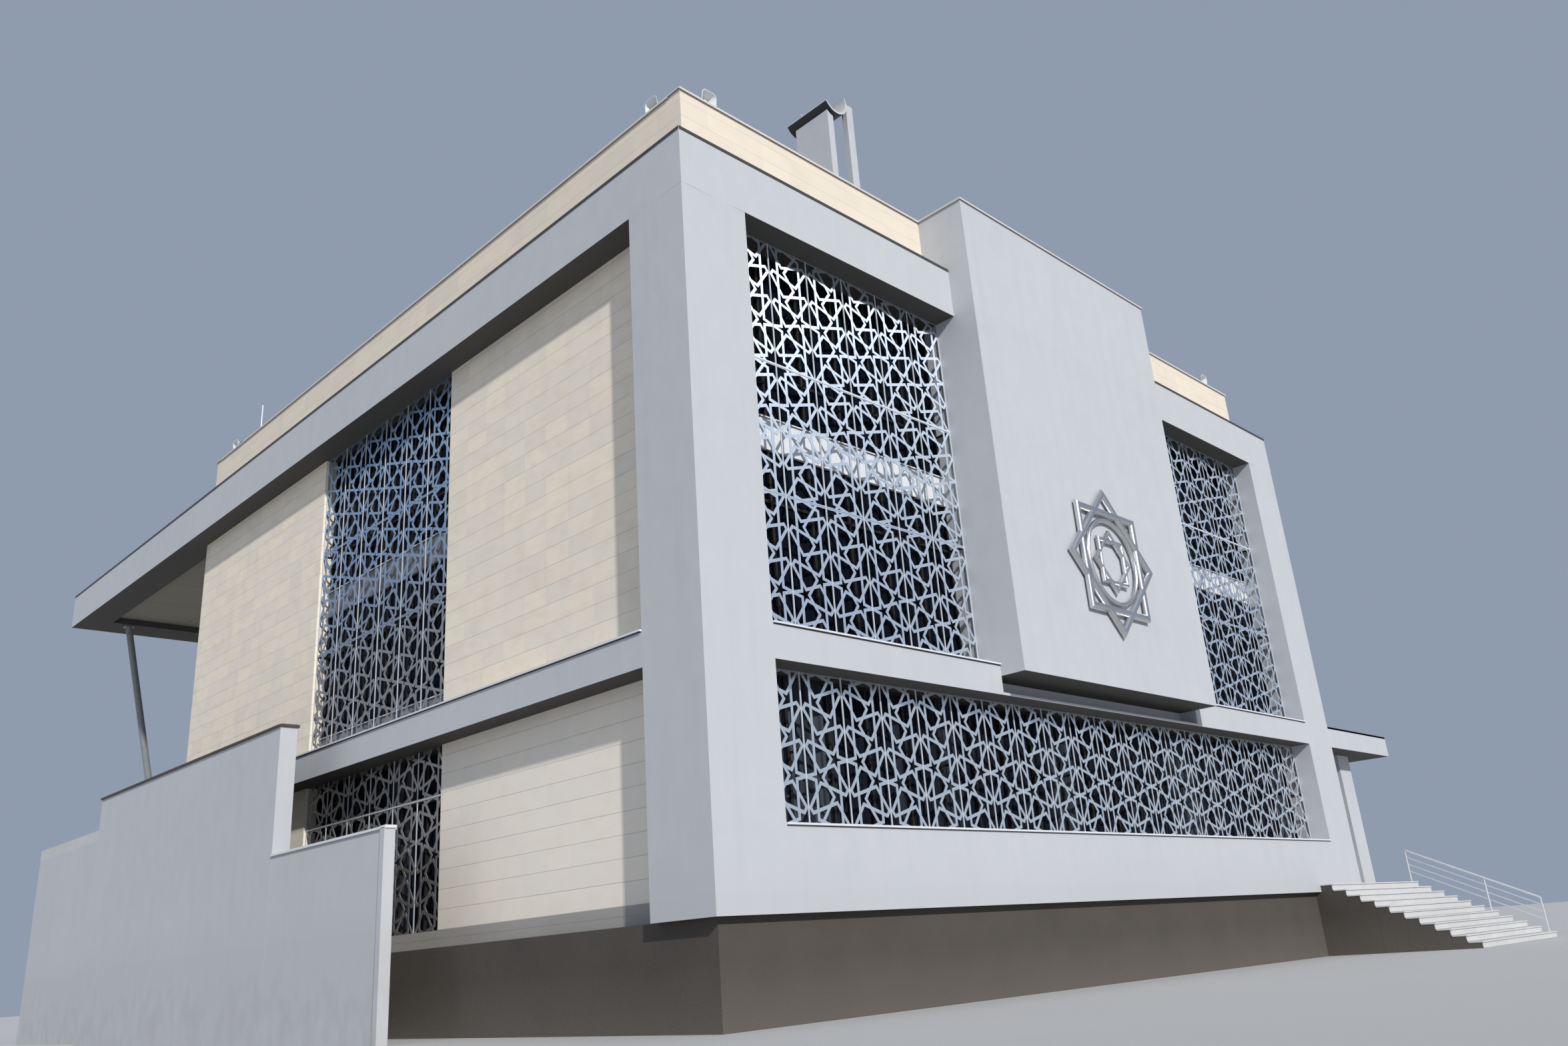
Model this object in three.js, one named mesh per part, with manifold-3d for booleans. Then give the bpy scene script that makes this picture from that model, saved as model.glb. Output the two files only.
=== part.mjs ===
// A modern mosque: a pale plaster frame round a stone prayer hall, with star-lattice screens,
// a mihrab block on the front wall, an entrance canopy at the back and a slender twin minaret.
// Millimetres, +Z up. X runs along the front wall, Y from the front wall to the back.
import * as THREE from "three";
import { mergeVertices } from "three/addons/utils/BufferGeometryUtils.js";
import Module from "manifold-3d";

const wasm = await Module();
wasm.setup();

// Plan of the plaster frame, with zero at its front left corner
const FRAME_WIDTH = 22500;
const FRAME_LENGTH = 32500;
const HALL_LENGTH = 21900;
const BEAM_WIDTH = 900;
const END_BEAM_WIDTH = 1250;
const PILLAR_WIDTH = 1450;
const PILLAR_DEPTH = 1420;

// Levels, with zero at the paving by the front left corner
const FOOT = -1800;
const FRAME_FOOT = -320;
const SILL_TOP = 900;
const MID_BEAM_BOTTOM = 3400;
const HALL_FLOOR = 3950;
const BEAM_BOTTOM = 11400;
const FRAME_TOP = 12500;
const PARAPET_TOP = 14000;

// Walls, slabs and recesses
const RECESS = 540;
const STONE_THICKNESS = BEAM_WIDTH - RECESS;
const FLOOR_THICKNESS = 300;
const ROOF_THICKNESS = 500;
const PARAPET_SETBACK = 620;
const PARAPET_THICKNESS = 300;
const BASE_WALL_THICKNESS = 300;
const SILL_THICKNESS = 200;
const FOUNDATION_SETBACK = 150;

// Mihrab block on the front wall
const MIHRAB_LEFT = 7400;
const MIHRAB_RIGHT = 14950;
const MIHRAB_PROJECTION = 530;
const MIHRAB_BOTTOM = 3760;
const MIHRAB_WALL = 300;
const MIHRAB_LEDGE = 50;
const MIHRAB_LEDGE_DEPTH = 400;

// Lattice screens and the glass behind them
const SIDE_SCREEN_START = 8300;
const SIDE_SCREEN_END = 14250;
const FRONT_SCREEN_SETBACK = 480;
const SIDE_SCREEN_SETBACK = 590;
const SCREEN_THICKNESS = 40;
const SCREEN_BAY = 1000;
const SCREEN_PANEL_HEIGHT = 2483;
const MULLION = 50;
const GLASS_SETBACK = 854;
const GLASS_THICKNESS = 24;

// Tie beams that stand in front of the glass and show through the front screens
const TIE_BEAM_BOTTOM = 7400;
const TIE_BEAM_TOP = 8000;
const TIE_BEAM_DEPTH = 60;

// Doorway in the back wall
const DOOR_WIDTH = 3200;
const DOOR_HEIGHT = 3200;

// Entrance terrace and canopy
const CANOPY_SOFFIT = 11650;
const TERRACE_WALL = 300;
const TERRACE_SLAB = 300;
const COLUMN_RADIUS = 110;
const COLUMN_SIDES = 16;
const COLUMN_TOP_INSET = 1500;
const COLUMN_FOOT_INSET = 3180;
const COLUMN_LINE = 31500;

// Side canopy, landing, steps and handrail at the front right corner
const SIDE_CANOPY_END = 26660;
const SIDE_CANOPY_DEPTH = 3750;
const SIDE_POST = { left: 24400, width: 775, front: 625, depth: 400 };
const STEPS_LEFT = 19830;
const STEPS_RIGHT = 25750;
const LANDING_TOP = -150;
const STEP_RISER_COUNT = 11;
const STEP_TREAD = 305;
const STEP_RISE = (LANDING_TOP - FOOT) / STEP_RISER_COUNT;
const STEP_NOSE = -313;
const RAIL_POST_TREADS = [0, 6, 10];
const RAIL_POST_RADIUS = 20;
const RAIL_INSET = 80;
const RAIL_SIDES = 8;
const RAILS = [
  { height: 840, radius: 24 },
  { height: 655, radius: 10 },
  { height: 470, radius: 10 },
  { height: 285, radius: 10 },
];

// Minaret: a long slab, a post and a half-round trough between their heads
const MINARET_FRONT = 15470;
const MINARET_SLAB_WIDTH = 360;
const MINARET_SLAB_LENGTH = 1940;
const TROUGH_RADIUS = 790;
const TROUGH_CENTRE_X = FRAME_WIDTH + 530;
const TROUGH_CENTRE_Z = 34575;
const TROUGH_LENGTH = 2250;
const TROUGH_INNER_RADIUS = 720;
const TROUGH_INNER_RISE = 62;
const TROUGH_TILT = THREE.MathUtils.degToRad(33);
const TROUGH_FACETS = 20;
const SEAT_GAP = 0.3;
const POST_LEFT = TROUGH_CENTRE_X + TROUGH_RADIUS + SEAT_GAP;
const POST_WIDTH = 430;
const POST_LENGTH = 270;
const POST_TOP = 34940;

// Garden walls along the left side
const GARDEN_WALL_FACE = -1250;
const GARDEN_WALL_THICKNESS = 350;
const GARDEN_WALL_START = 11560;
const GARDEN_WALL_END = 22500;
const GARDEN_WALL_TOP = 4190;
const LOW_WALL_THICKNESS = 250;
const LOW_WALL_START = 7070;
const LOW_WALL_TOP = 1650;
const GATE_PIER = 470;
const GATE_PIER_TOP = 1760;
const GATE_PIER_PROUD = 40;

const plaster = { color: 0xc4c8cf, roughness: 0.85, metalness: 0 };
const stone = { color: 0xd2cdbf, roughness: 0.8, metalness: 0 };
const concrete = { color: 0x9b9a96, roughness: 0.9, metalness: 0 };
const darkPlinth = { color: 0x4c4742, roughness: 0.9, metalness: 0 };
const whiteMetal = { color: 0xc9d6e6, roughness: 0.5, metalness: 0.1 };
const darkGlass = { color: 0x141c28, roughness: 0.1, metalness: 0 };
const greyMetal = { color: 0x6f757c, roughness: 0.5, metalness: 0.3 };
const whiteStone = { color: 0xe4e2dc, roughness: 0.75, metalness: 0 };
const steel = { color: 0xb8bcc0, roughness: 0.3, metalness: 0.9 };

const building = new THREE.Group();

function addPiece(name, finish, geometry) {
  const mesh = new THREE.Mesh(geometry, new THREE.MeshStandardMaterial(finish));
  mesh.name = name;
  building.add(mesh);
  return mesh;
}

// A straight slab or post between two opposite corners
function addSlab(name, finish, [x0, x1], [y0, y1], [z0, z1]) {
  const mesh = addPiece(name, finish, new THREE.BoxGeometry(x1 - x0, y1 - y0, z1 - z0));
  mesh.position.set((x0 + x1) / 2, (y0 + y1) / 2, (z0 + z1) / 2);
  return mesh;
}

function shapeFrom(points) {
  return new THREE.Shape(points.map(([x, y]) => new THREE.Vector2(x, y)));
}

// A plan outline raised from one level to another
function planPrism(points, bottom, top) {
  const geometry = new THREE.ExtrudeGeometry(shapeFrom(points), { depth: top - bottom, bevelEnabled: false });
  return geometry.translate(0, 0, bottom);
}

// A section drawn in Y and Z, run along X
function sectionAlongX(points, start, end) {
  const geometry = new THREE.ExtrudeGeometry(shapeFrom(points), { depth: end - start, bevelEnabled: false });
  const toSection = new THREE.Matrix4().set(0, 0, 1, start, 1, 0, 0, 0, 0, 1, 0, 0, 0, 0, 0, 1);
  return geometry.applyMatrix4(toSection);
}

// An elevation drawn in X and Z, run along Y away from the front
function elevationAlongY(shape, start, end) {
  const geometry = new THREE.ExtrudeGeometry(shape, { depth: end - start, bevelEnabled: false });
  return geometry.rotateX(Math.PI / 2).translate(0, end, 0);
}

const WELD_DISTANCE = 1e-3;

function toSolid(geometry) {
  const bare = geometry.index ? geometry.toNonIndexed() : geometry.clone();
  bare.deleteAttribute("normal");
  bare.deleteAttribute("uv");
  const welded = mergeVertices(bare, WELD_DISTANCE);
  return new wasm.Manifold(new wasm.Mesh({
    numProp: 3,
    vertProperties: new Float32Array(welded.attributes.position.array),
    triVerts: new Uint32Array(welded.index.array),
  }));
}

function toGeometry(solid) {
  const mesh = solid.getMesh();
  const geometry = new THREE.BufferGeometry();
  geometry.setAttribute("position", new THREE.BufferAttribute(new Float32Array(mesh.vertProperties), 3));
  geometry.setIndex(new THREE.BufferAttribute(new Uint32Array(mesh.triVerts), 1));
  return geometry;
}

function fuse(geometries) {
  let solid = toSolid(geometries[0]);
  for (const geometry of geometries.slice(1)) {
    solid = solid.add(toSolid(geometry));
  }
  return toGeometry(solid);
}

function boxGeometry([x0, x1], [y0, y1], [z0, z1]) {
  return new THREE.BoxGeometry(x1 - x0, y1 - y0, z1 - z0)
    .translate((x0 + x1) / 2, (y0 + y1) / 2, (z0 + z1) / 2);
}

// A round bar between two points
function barBetween(from, to, radius) {
  const run = new THREE.Vector3().subVectors(to, from);
  const turn = new THREE.Quaternion().setFromUnitVectors(new THREE.Vector3(0, 1, 0), run.clone().normalize());
  const middle = new THREE.Vector3().addVectors(from, to).multiplyScalar(0.5);
  return new THREE.CylinderGeometry(radius, radius, run.length(), RAIL_SIDES)
    .applyQuaternion(turn)
    .translate(middle.x, middle.y, middle.z);
}

// Foundation, floors and roof
function addFloors() {
  const right = FRAME_WIDTH;
  addSlab("foundation_plinth", darkPlinth, [FOUNDATION_SETBACK, right - FOUNDATION_SETBACK],
    [FOUNDATION_SETBACK, HALL_LENGTH], [FOOT, FRAME_FOOT]);
  const floorOutline = (side, front, back) => [
    [PILLAR_WIDTH, front], [right - PILLAR_WIDTH, front],
    [right - PILLAR_WIDTH, PILLAR_DEPTH], [right - side, PILLAR_DEPTH],
    [right - side, back], [side, back],
    [side, PILLAR_DEPTH], [PILLAR_WIDTH, PILLAR_DEPTH],
  ];
  addPiece("ground_floor_slab", concrete,
    planPrism(floorOutline(RECESS, BASE_WALL_THICKNESS, HALL_LENGTH), FRAME_FOOT, 0));
  addPiece("prayer_hall_floor", concrete,
    planPrism(floorOutline(BEAM_WIDTH, BEAM_WIDTH, HALL_LENGTH - STONE_THICKNESS),
      HALL_FLOOR - FLOOR_THICKNESS, HALL_FLOOR));
  addSlab("roof_slab", concrete, [BEAM_WIDTH, right - BEAM_WIDTH], [BEAM_WIDTH, HALL_LENGTH],
    [FRAME_TOP - ROOF_THICKNESS, FRAME_TOP]);
}

// Plaster frame: pillars, beams round the top, middle beams and the wall under the lower screen
function addFrame() {
  const right = FRAME_WIDTH;
  const pillarLevels = [FRAME_FOOT, BEAM_BOTTOM];
  addSlab("front_pillar_left", plaster, [0, PILLAR_WIDTH], [0, PILLAR_DEPTH], pillarLevels);
  addSlab("front_pillar_right", plaster, [right - PILLAR_WIDTH, right], [0, PILLAR_DEPTH], pillarLevels);

  const topLevels = [BEAM_BOTTOM, FRAME_TOP];
  addSlab("front_top_beam_left", plaster, [0, MIHRAB_LEFT], [0, BEAM_WIDTH], topLevels);
  addSlab("front_top_beam_right", plaster, [MIHRAB_RIGHT, right], [0, BEAM_WIDTH], topLevels);
  const sideRun = [BEAM_WIDTH, FRAME_LENGTH - END_BEAM_WIDTH];
  addSlab("left_top_beam", plaster, [0, BEAM_WIDTH], sideRun, topLevels);
  addSlab("right_top_beam", plaster, [right - BEAM_WIDTH, right], sideRun, topLevels);
  addSlab("canopy_end_beam", plaster, [0, right], [FRAME_LENGTH - END_BEAM_WIDTH, FRAME_LENGTH], topLevels);

  const midLevels = [MID_BEAM_BOTTOM, HALL_FLOOR];
  addSlab("front_mid_beam_left", plaster, [PILLAR_WIDTH, MIHRAB_LEFT], [0, BEAM_WIDTH], midLevels);
  addSlab("front_mid_beam_right", plaster, [MIHRAB_RIGHT, right - PILLAR_WIDTH], [0, BEAM_WIDTH], midLevels);
  const ledgeTop = MID_BEAM_BOTTOM + MIHRAB_LEDGE;
  addPiece("front_mid_beam_middle", plaster, sectionAlongX([
    [0, MID_BEAM_BOTTOM], [BEAM_WIDTH, MID_BEAM_BOTTOM], [BEAM_WIDTH, MIHRAB_BOTTOM],
    [MIHRAB_LEDGE_DEPTH, MIHRAB_BOTTOM], [MIHRAB_LEDGE_DEPTH, ledgeTop], [0, ledgeTop],
  ], MIHRAB_LEFT, MIHRAB_RIGHT));

  addPiece("front_base_wall", plaster, sectionAlongX([
    [0, FRAME_FOOT], [BASE_WALL_THICKNESS, FRAME_FOOT],
    [BASE_WALL_THICKNESS, SILL_TOP - SILL_THICKNESS], [BEAM_WIDTH, SILL_TOP - SILL_THICKNESS],
    [BEAM_WIDTH, SILL_TOP], [0, SILL_TOP],
  ], PILLAR_WIDTH, right - PILLAR_WIDTH));

  const sideBeam = (outer, recess, inner) => [
    [outer, PILLAR_DEPTH], [recess, PILLAR_DEPTH], [recess, SIDE_SCREEN_START],
    [inner, SIDE_SCREEN_START], [inner, SIDE_SCREEN_END], [recess, SIDE_SCREEN_END],
    [recess, HALL_LENGTH], [outer, HALL_LENGTH],
  ];
  addPiece("left_mid_beam", plaster,
    planPrism(sideBeam(0, RECESS, GLASS_SETBACK), MID_BEAM_BOTTOM, HALL_FLOOR));
  addPiece("right_mid_beam", plaster,
    planPrism(sideBeam(right, right - RECESS, right - GLASS_SETBACK), MID_BEAM_BOTTOM, HALL_FLOOR));
}

// Stone walls set back inside the frame, and the parapets that rise above it
function addStoneWalls() {
  const levels = [0, BEAM_BOTTOM];
  const sides = {
    left: [RECESS, BEAM_WIDTH],
    right: [FRAME_WIDTH - BEAM_WIDTH, FRAME_WIDTH - RECESS],
  };
  for (const [side, across] of Object.entries(sides)) {
    addSlab(`${side}_stone_wall_front`, stone, across, [PILLAR_DEPTH, SIDE_SCREEN_START], levels);
    addSlab(`${side}_stone_wall_rear`, stone, across, [SIDE_SCREEN_END, HALL_LENGTH], levels);
  }
  const wall = shapeFrom([
    [BEAM_WIDTH, 0], [FRAME_WIDTH - BEAM_WIDTH, 0],
    [FRAME_WIDTH - BEAM_WIDTH, BEAM_BOTTOM], [BEAM_WIDTH, BEAM_BOTTOM],
  ]);
  const doorLeft = (FRAME_WIDTH - DOOR_WIDTH) / 2;
  wall.holes.push(shapeFrom([
    [doorLeft, HALL_FLOOR], [doorLeft, HALL_FLOOR + DOOR_HEIGHT],
    [doorLeft + DOOR_WIDTH, HALL_FLOOR + DOOR_HEIGHT], [doorLeft + DOOR_WIDTH, HALL_FLOOR],
  ]));
  addPiece("back_wall", stone, elevationAlongY(wall, HALL_LENGTH - STONE_THICKNESS, HALL_LENGTH));

  const parapetLevels = [FRAME_TOP, PARAPET_TOP];
  const outer = PARAPET_SETBACK;
  const inner = PARAPET_SETBACK + PARAPET_THICKNESS;
  const farSide = FRAME_WIDTH - PARAPET_SETBACK;
  addSlab("parapet_front_left", stone, [outer, MIHRAB_LEFT], [outer, inner], parapetLevels);
  addSlab("parapet_front_right", stone, [MIHRAB_RIGHT, farSide], [outer, inner], parapetLevels);
  const sideRun = [inner, HALL_LENGTH - PARAPET_THICKNESS];
  addSlab("parapet_left", stone, [outer, inner], sideRun, parapetLevels);
  addSlab("parapet_right", stone, [farSide - PARAPET_THICKNESS, farSide], sideRun, parapetLevels);
  addSlab("parapet_back", stone, [outer, farSide], [HALL_LENGTH - PARAPET_THICKNESS, HALL_LENGTH],
    parapetLevels);
}

// Mihrab block: a plaster box that projects from the front wall and opens into the hall
function addMihrab() {
  const shell = boxGeometry([MIHRAB_LEFT, MIHRAB_RIGHT], [-MIHRAB_PROJECTION, BEAM_WIDTH],
    [MIHRAB_BOTTOM, PARAPET_TOP]);
  const niche = boxGeometry([MIHRAB_LEFT + MIHRAB_WALL, MIHRAB_RIGHT - MIHRAB_WALL],
    [MIHRAB_WALL - MIHRAB_PROJECTION, BEAM_WIDTH * 2],
    [HALL_FLOOR, FRAME_TOP - ROOF_THICKNESS]);
  addPiece("mihrab_block", plaster, toGeometry(toSolid(shell).subtract(toSolid(niche))));
}

// A screen standing on the X axis: a plate cut through between its mullions and panel rails
function screenGeometry(width, height) {
  const bays = Math.round(width / SCREEN_BAY);
  const rows = Math.max(1, Math.round(height / SCREEN_PANEL_HEIGHT));
  const pitchX = (width - MULLION) / bays;
  const pitchZ = (height - MULLION) / rows;
  let plate = toSolid(boxGeometry([0, width], [0, SCREEN_THICKNESS], [0, height]));
  for (let bay = 0; bay < bays; bay += 1) {
    for (let row = 0; row < rows; row += 1) {
      const hole = boxGeometry([bay * pitchX + MULLION, (bay + 1) * pitchX],
        [-SCREEN_THICKNESS, SCREEN_THICKNESS * 2],
        [row * pitchZ + MULLION, (row + 1) * pitchZ]);
      plate = plate.subtract(toSolid(hole));
    }
  }
  return toGeometry(plate);
}

function addScreensAndGlass() {
  const upper = [HALL_FLOOR, BEAM_BOTTOM];
  const frontLower = [SILL_TOP, MID_BEAM_BOTTOM];
  const sideLower = [0, MID_BEAM_BOTTOM];

  const frontOpenings = [
    ["front_screen_upper_left", "front_glass_upper_left", [PILLAR_WIDTH, MIHRAB_LEFT], upper],
    ["front_screen_upper_right", "front_glass_upper_right",
      [MIHRAB_RIGHT, FRAME_WIDTH - PILLAR_WIDTH], upper],
    ["front_screen_lower", "front_glass_lower", [PILLAR_WIDTH, FRAME_WIDTH - PILLAR_WIDTH], frontLower],
  ];
  for (const [screenName, glassName, [x0, x1], [z0, z1]] of frontOpenings) {
    addPiece(screenName, whiteMetal,
      screenGeometry(x1 - x0, z1 - z0).translate(x0, FRONT_SCREEN_SETBACK, z0));
    addSlab(glassName, darkGlass, [x0, x1], [GLASS_SETBACK, GLASS_SETBACK + GLASS_THICKNESS], [z0, z1]);
  }

  const width = SIDE_SCREEN_END - SIDE_SCREEN_START;
  const sideRun = [SIDE_SCREEN_START, SIDE_SCREEN_END];
  const sides = {
    left: (depth) => depth,
    right: (depth) => FRAME_WIDTH - depth,
  };
  for (const [side, across] of Object.entries(sides)) {
    const screenBack = Math.max(across(SIDE_SCREEN_SETBACK), across(SIDE_SCREEN_SETBACK + SCREEN_THICKNESS));
    const glassFaces = [across(GLASS_SETBACK), across(GLASS_SETBACK + GLASS_THICKNESS)];
    glassFaces.sort((a, b) => a - b);
    for (const [storey, [z0, z1]] of [["upper", upper], ["lower", sideLower]]) {
      const screen = screenGeometry(width, z1 - z0).rotateZ(Math.PI / 2);
      addPiece(`${side}_screen_${storey}`, whiteMetal,
        screen.translate(screenBack, SIDE_SCREEN_START, z0));
    }
    addSlab(`${side}_glass`, darkGlass, glassFaces, sideRun, [0, BEAM_BOTTOM]);
  }
}

// Tie beams in front of the front glass, at the middle of the hall's height
function addTieBeams() {
  const levels = [TIE_BEAM_BOTTOM, TIE_BEAM_TOP];
  const across = [GLASS_SETBACK - TIE_BEAM_DEPTH, GLASS_SETBACK];
  addSlab("tie_beam_left", concrete, [PILLAR_WIDTH, MIHRAB_LEFT], across, levels);
  addSlab("tie_beam_right", concrete, [MIHRAB_RIGHT, FRAME_WIDTH - PILLAR_WIDTH], across, levels);
}

// Entrance terrace at the back, its retaining walls, the canopy slab and two leaning columns
function addEntrance() {
  const right = FRAME_WIDTH;
  const wallLevels = [FOOT, HALL_FLOOR - TERRACE_SLAB];
  addSlab("terrace_slab", whiteStone, [0, right], [HALL_LENGTH, FRAME_LENGTH],
    [HALL_FLOOR - TERRACE_SLAB, HALL_FLOOR]);
  addSlab("terrace_wall_left", plaster, [0, TERRACE_WALL], [HALL_LENGTH, FRAME_LENGTH - TERRACE_WALL],
    wallLevels);
  addSlab("terrace_wall_right", plaster, [right - TERRACE_WALL, right],
    [HALL_LENGTH, FRAME_LENGTH - TERRACE_WALL], wallLevels);
  addSlab("terrace_wall_back", plaster, [0, right], [FRAME_LENGTH - TERRACE_WALL, FRAME_LENGTH], wallLevels);
  addSlab("canopy_slab", concrete, [BEAM_WIDTH, right - BEAM_WIDTH],
    [HALL_LENGTH, FRAME_LENGTH - END_BEAM_WIDTH], [CANOPY_SOFFIT, FRAME_TOP]);

  const height = BEAM_BOTTOM - HALL_FLOOR;
  const lean = (COLUMN_FOOT_INSET - COLUMN_TOP_INSET) / height;
  const columns = { left: [COLUMN_FOOT_INSET, -lean], right: [right - COLUMN_FOOT_INSET, lean] };
  for (const [side, [foot, slope]] of Object.entries(columns)) {
    const shaft = new THREE.CylinderGeometry(COLUMN_RADIUS, COLUMN_RADIUS, height, COLUMN_SIDES)
      .rotateX(Math.PI / 2)
      .translate(0, 0, height / 2);
    shaft.applyMatrix4(new THREE.Matrix4().set(1, 0, slope, foot, 0, 1, 0, COLUMN_LINE,
      0, 0, 1, HALL_FLOOR, 0, 0, 0, 1));
    addPiece(`canopy_column_${side}`, greyMetal, shaft);
  }
}

// Side canopy on one post, the landing under it and the steps down to the front
function addSideEntrance() {
  addSlab("side_canopy", plaster, [FRAME_WIDTH, SIDE_CANOPY_END], [0, SIDE_CANOPY_DEPTH],
    [MID_BEAM_BOTTOM, HALL_FLOOR]);
  addSlab("side_canopy_post", plaster, [SIDE_POST.left, SIDE_POST.left + SIDE_POST.width],
    [SIDE_POST.front, SIDE_POST.front + SIDE_POST.depth], [LANDING_TOP, MID_BEAM_BOTTOM]);

  const profile = [[0, FOOT], [0, LANDING_TOP]];
  for (let tread = 0; tread < STEP_RISER_COUNT; tread += 1) {
    profile.push([treadNose(tread), treadTop(tread)]);
    profile.push([treadNose(tread), treadTop(tread + 1)]);
  }
  addPiece("steps_and_landing", whiteStone, fuse([
    sectionAlongX(profile.reverse(), STEPS_LEFT, STEPS_RIGHT),
    boxGeometry([FRAME_WIDTH, STEPS_RIGHT], [0, SIDE_CANOPY_DEPTH], [FOOT, LANDING_TOP]),
  ]));
}

// Front edge and level of a tread, where tread 0 is the landing
function treadNose(tread) {
  return STEP_NOSE - STEP_TREAD * tread;
}

function treadTop(tread) {
  return LANDING_TOP - STEP_RISE * tread;
}

// Handrail on the right side of the steps: three posts, a top rail and thinner rails under it
function addStepHandrail() {
  const x = STEPS_RIGHT - RAIL_INSET;
  const posts = RAIL_POST_TREADS.map((tread) => ({
    y: treadNose(tread) + STEP_TREAD / 2,
    foot: treadTop(tread),
  }));
  const railEnd = (post, height) => new THREE.Vector3(x, post.y, post.foot + height);
  const bars = posts.map((post) => barBetween(
    new THREE.Vector3(x, post.y, post.foot + SEAT_GAP), railEnd(post, RAILS[0].height), RAIL_POST_RADIUS));
  const top = posts[0];
  const bottom = posts[posts.length - 1];
  for (const { height, radius } of RAILS) {
    bars.push(barBetween(railEnd(top, height), railEnd(bottom, height), radius));
  }
  addPiece("step_handrail", steel, fuse(bars));
}

// Points of the trough's section, from its left lip round the bottom to its right lip
function troughArc(radius, rise) {
  const start = Math.PI + Math.acos((TROUGH_CENTRE_X - FRAME_WIDTH) / TROUGH_RADIUS);
  const end = Math.PI * 2 + TROUGH_TILT;
  const points = [];
  for (let i = 0; i <= TROUGH_FACETS; i += 1) {
    const angle = start + (end - start) * i / TROUGH_FACETS;
    points.push([
      TROUGH_CENTRE_X + radius * Math.cos(angle),
      TROUGH_CENTRE_Z + rise + radius * Math.sin(angle),
    ]);
  }
  return points;
}

// Minaret beside the right wall: the slab's head is cut to the trough that lies on it
function addMinaret() {
  const slabRight = FRAME_WIDTH + MINARET_SLAB_WIDTH;
  const underside = troughArc(TROUGH_RADIUS, -SEAT_GAP);
  const beyond = underside.findIndex(([x]) => x > slabRight);
  const [before, after] = [underside[beyond - 1], underside[beyond]];
  const share = (slabRight - before[0]) / (after[0] - before[0]);
  const head = [...underside.slice(0, beyond), [slabRight, before[1] + (after[1] - before[1]) * share]];
  const outline = [[FRAME_WIDTH, FOOT], [slabRight, FOOT], ...head.reverse()];
  addPiece("minaret_slab", plaster,
    elevationAlongY(shapeFrom(outline), MINARET_FRONT, MINARET_FRONT + MINARET_SLAB_LENGTH));
  addSlab("minaret_post", plaster, [POST_LEFT, POST_LEFT + POST_WIDTH],
    [MINARET_FRONT, MINARET_FRONT + POST_LENGTH], [FOOT, POST_TOP]);

  const section = [
    ...troughArc(TROUGH_RADIUS, 0),
    ...troughArc(TROUGH_INNER_RADIUS, TROUGH_INNER_RISE).reverse(),
  ];
  addPiece("minaret_trough", greyMetal,
    elevationAlongY(shapeFrom(section), MINARET_FRONT, MINARET_FRONT + TROUGH_LENGTH));
}

// Garden walls beside the left wall
function addGardenWalls() {
  const pierFace = GARDEN_WALL_FACE - GATE_PIER_PROUD;
  addSlab("garden_wall", plaster, [GARDEN_WALL_FACE, GARDEN_WALL_FACE + GARDEN_WALL_THICKNESS],
    [GARDEN_WALL_START, GARDEN_WALL_END], [FOOT, GARDEN_WALL_TOP]);
  addPiece("low_garden_wall", plaster, fuse([
    boxGeometry([GARDEN_WALL_FACE, GARDEN_WALL_FACE + LOW_WALL_THICKNESS],
      [LOW_WALL_START, GARDEN_WALL_START], [FOOT, LOW_WALL_TOP]),
    boxGeometry([pierFace, pierFace + GATE_PIER],
      [LOW_WALL_START - GATE_PIER, LOW_WALL_START], [FOOT, GATE_PIER_TOP]),
  ]));
}

addFloors();
addFrame();
addStoneWalls();
addMihrab();
addScreensAndGlass();
addTieBeams();
addEntrance();
addSideEntrance();
addStepHandrail();
addMinaret();
addGardenWalls();

// The part's origin is under the middle of the whole building, at the level of its lowest foot
const part = new THREE.Group();
const reach = new THREE.Box3().setFromObject(building);
const middle = reach.getCenter(new THREE.Vector3());
building.position.set(-middle.x, -middle.y, -reach.min.z);
part.add(building);

export default part;
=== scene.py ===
import math

import bmesh
import bpy
from mathutils import Matrix, Vector
from mathutils.geometry import delaunay_2d_cdt


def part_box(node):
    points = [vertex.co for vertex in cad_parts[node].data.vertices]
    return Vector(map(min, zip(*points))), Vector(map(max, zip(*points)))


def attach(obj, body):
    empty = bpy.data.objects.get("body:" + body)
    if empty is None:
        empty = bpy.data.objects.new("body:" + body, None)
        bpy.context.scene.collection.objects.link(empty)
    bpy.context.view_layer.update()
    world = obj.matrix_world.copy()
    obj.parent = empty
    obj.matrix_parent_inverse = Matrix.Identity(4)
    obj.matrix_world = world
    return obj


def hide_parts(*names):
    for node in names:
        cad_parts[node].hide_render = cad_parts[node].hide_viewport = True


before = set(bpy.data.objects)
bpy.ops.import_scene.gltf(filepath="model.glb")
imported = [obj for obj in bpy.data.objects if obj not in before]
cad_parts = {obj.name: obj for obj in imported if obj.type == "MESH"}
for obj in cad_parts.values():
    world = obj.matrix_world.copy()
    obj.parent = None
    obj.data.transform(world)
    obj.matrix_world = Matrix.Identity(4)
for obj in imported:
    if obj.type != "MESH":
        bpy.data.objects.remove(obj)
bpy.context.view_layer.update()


# Camera and studio. The view is from the left of the front, at eye height, looking up with a wide lens.
# A small bright key from the front left lights the model, with two weak wide lamps from the back right and
# from the left, and a pale blue surround.
CAMERA_PLACE = Vector((-24.021, -27.330, 0.915))
CAMERA_RIGHT = Vector((0.71112, -0.69963, -0.06939))
CAMERA_FORWARD = Vector((0.67681, 0.65451, 0.33695))
CAMERA_LENS = 27.71
CAMERA_SENSOR = 36.0
CAMERA_SIGHT = 1000.0
camera_data = bpy.data.cameras.new("camera")
camera_data.lens = CAMERA_LENS
camera_data.sensor_width = CAMERA_SENSOR
camera_data.clip_end = CAMERA_SIGHT
camera = bpy.data.objects.new("camera", camera_data)
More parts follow.
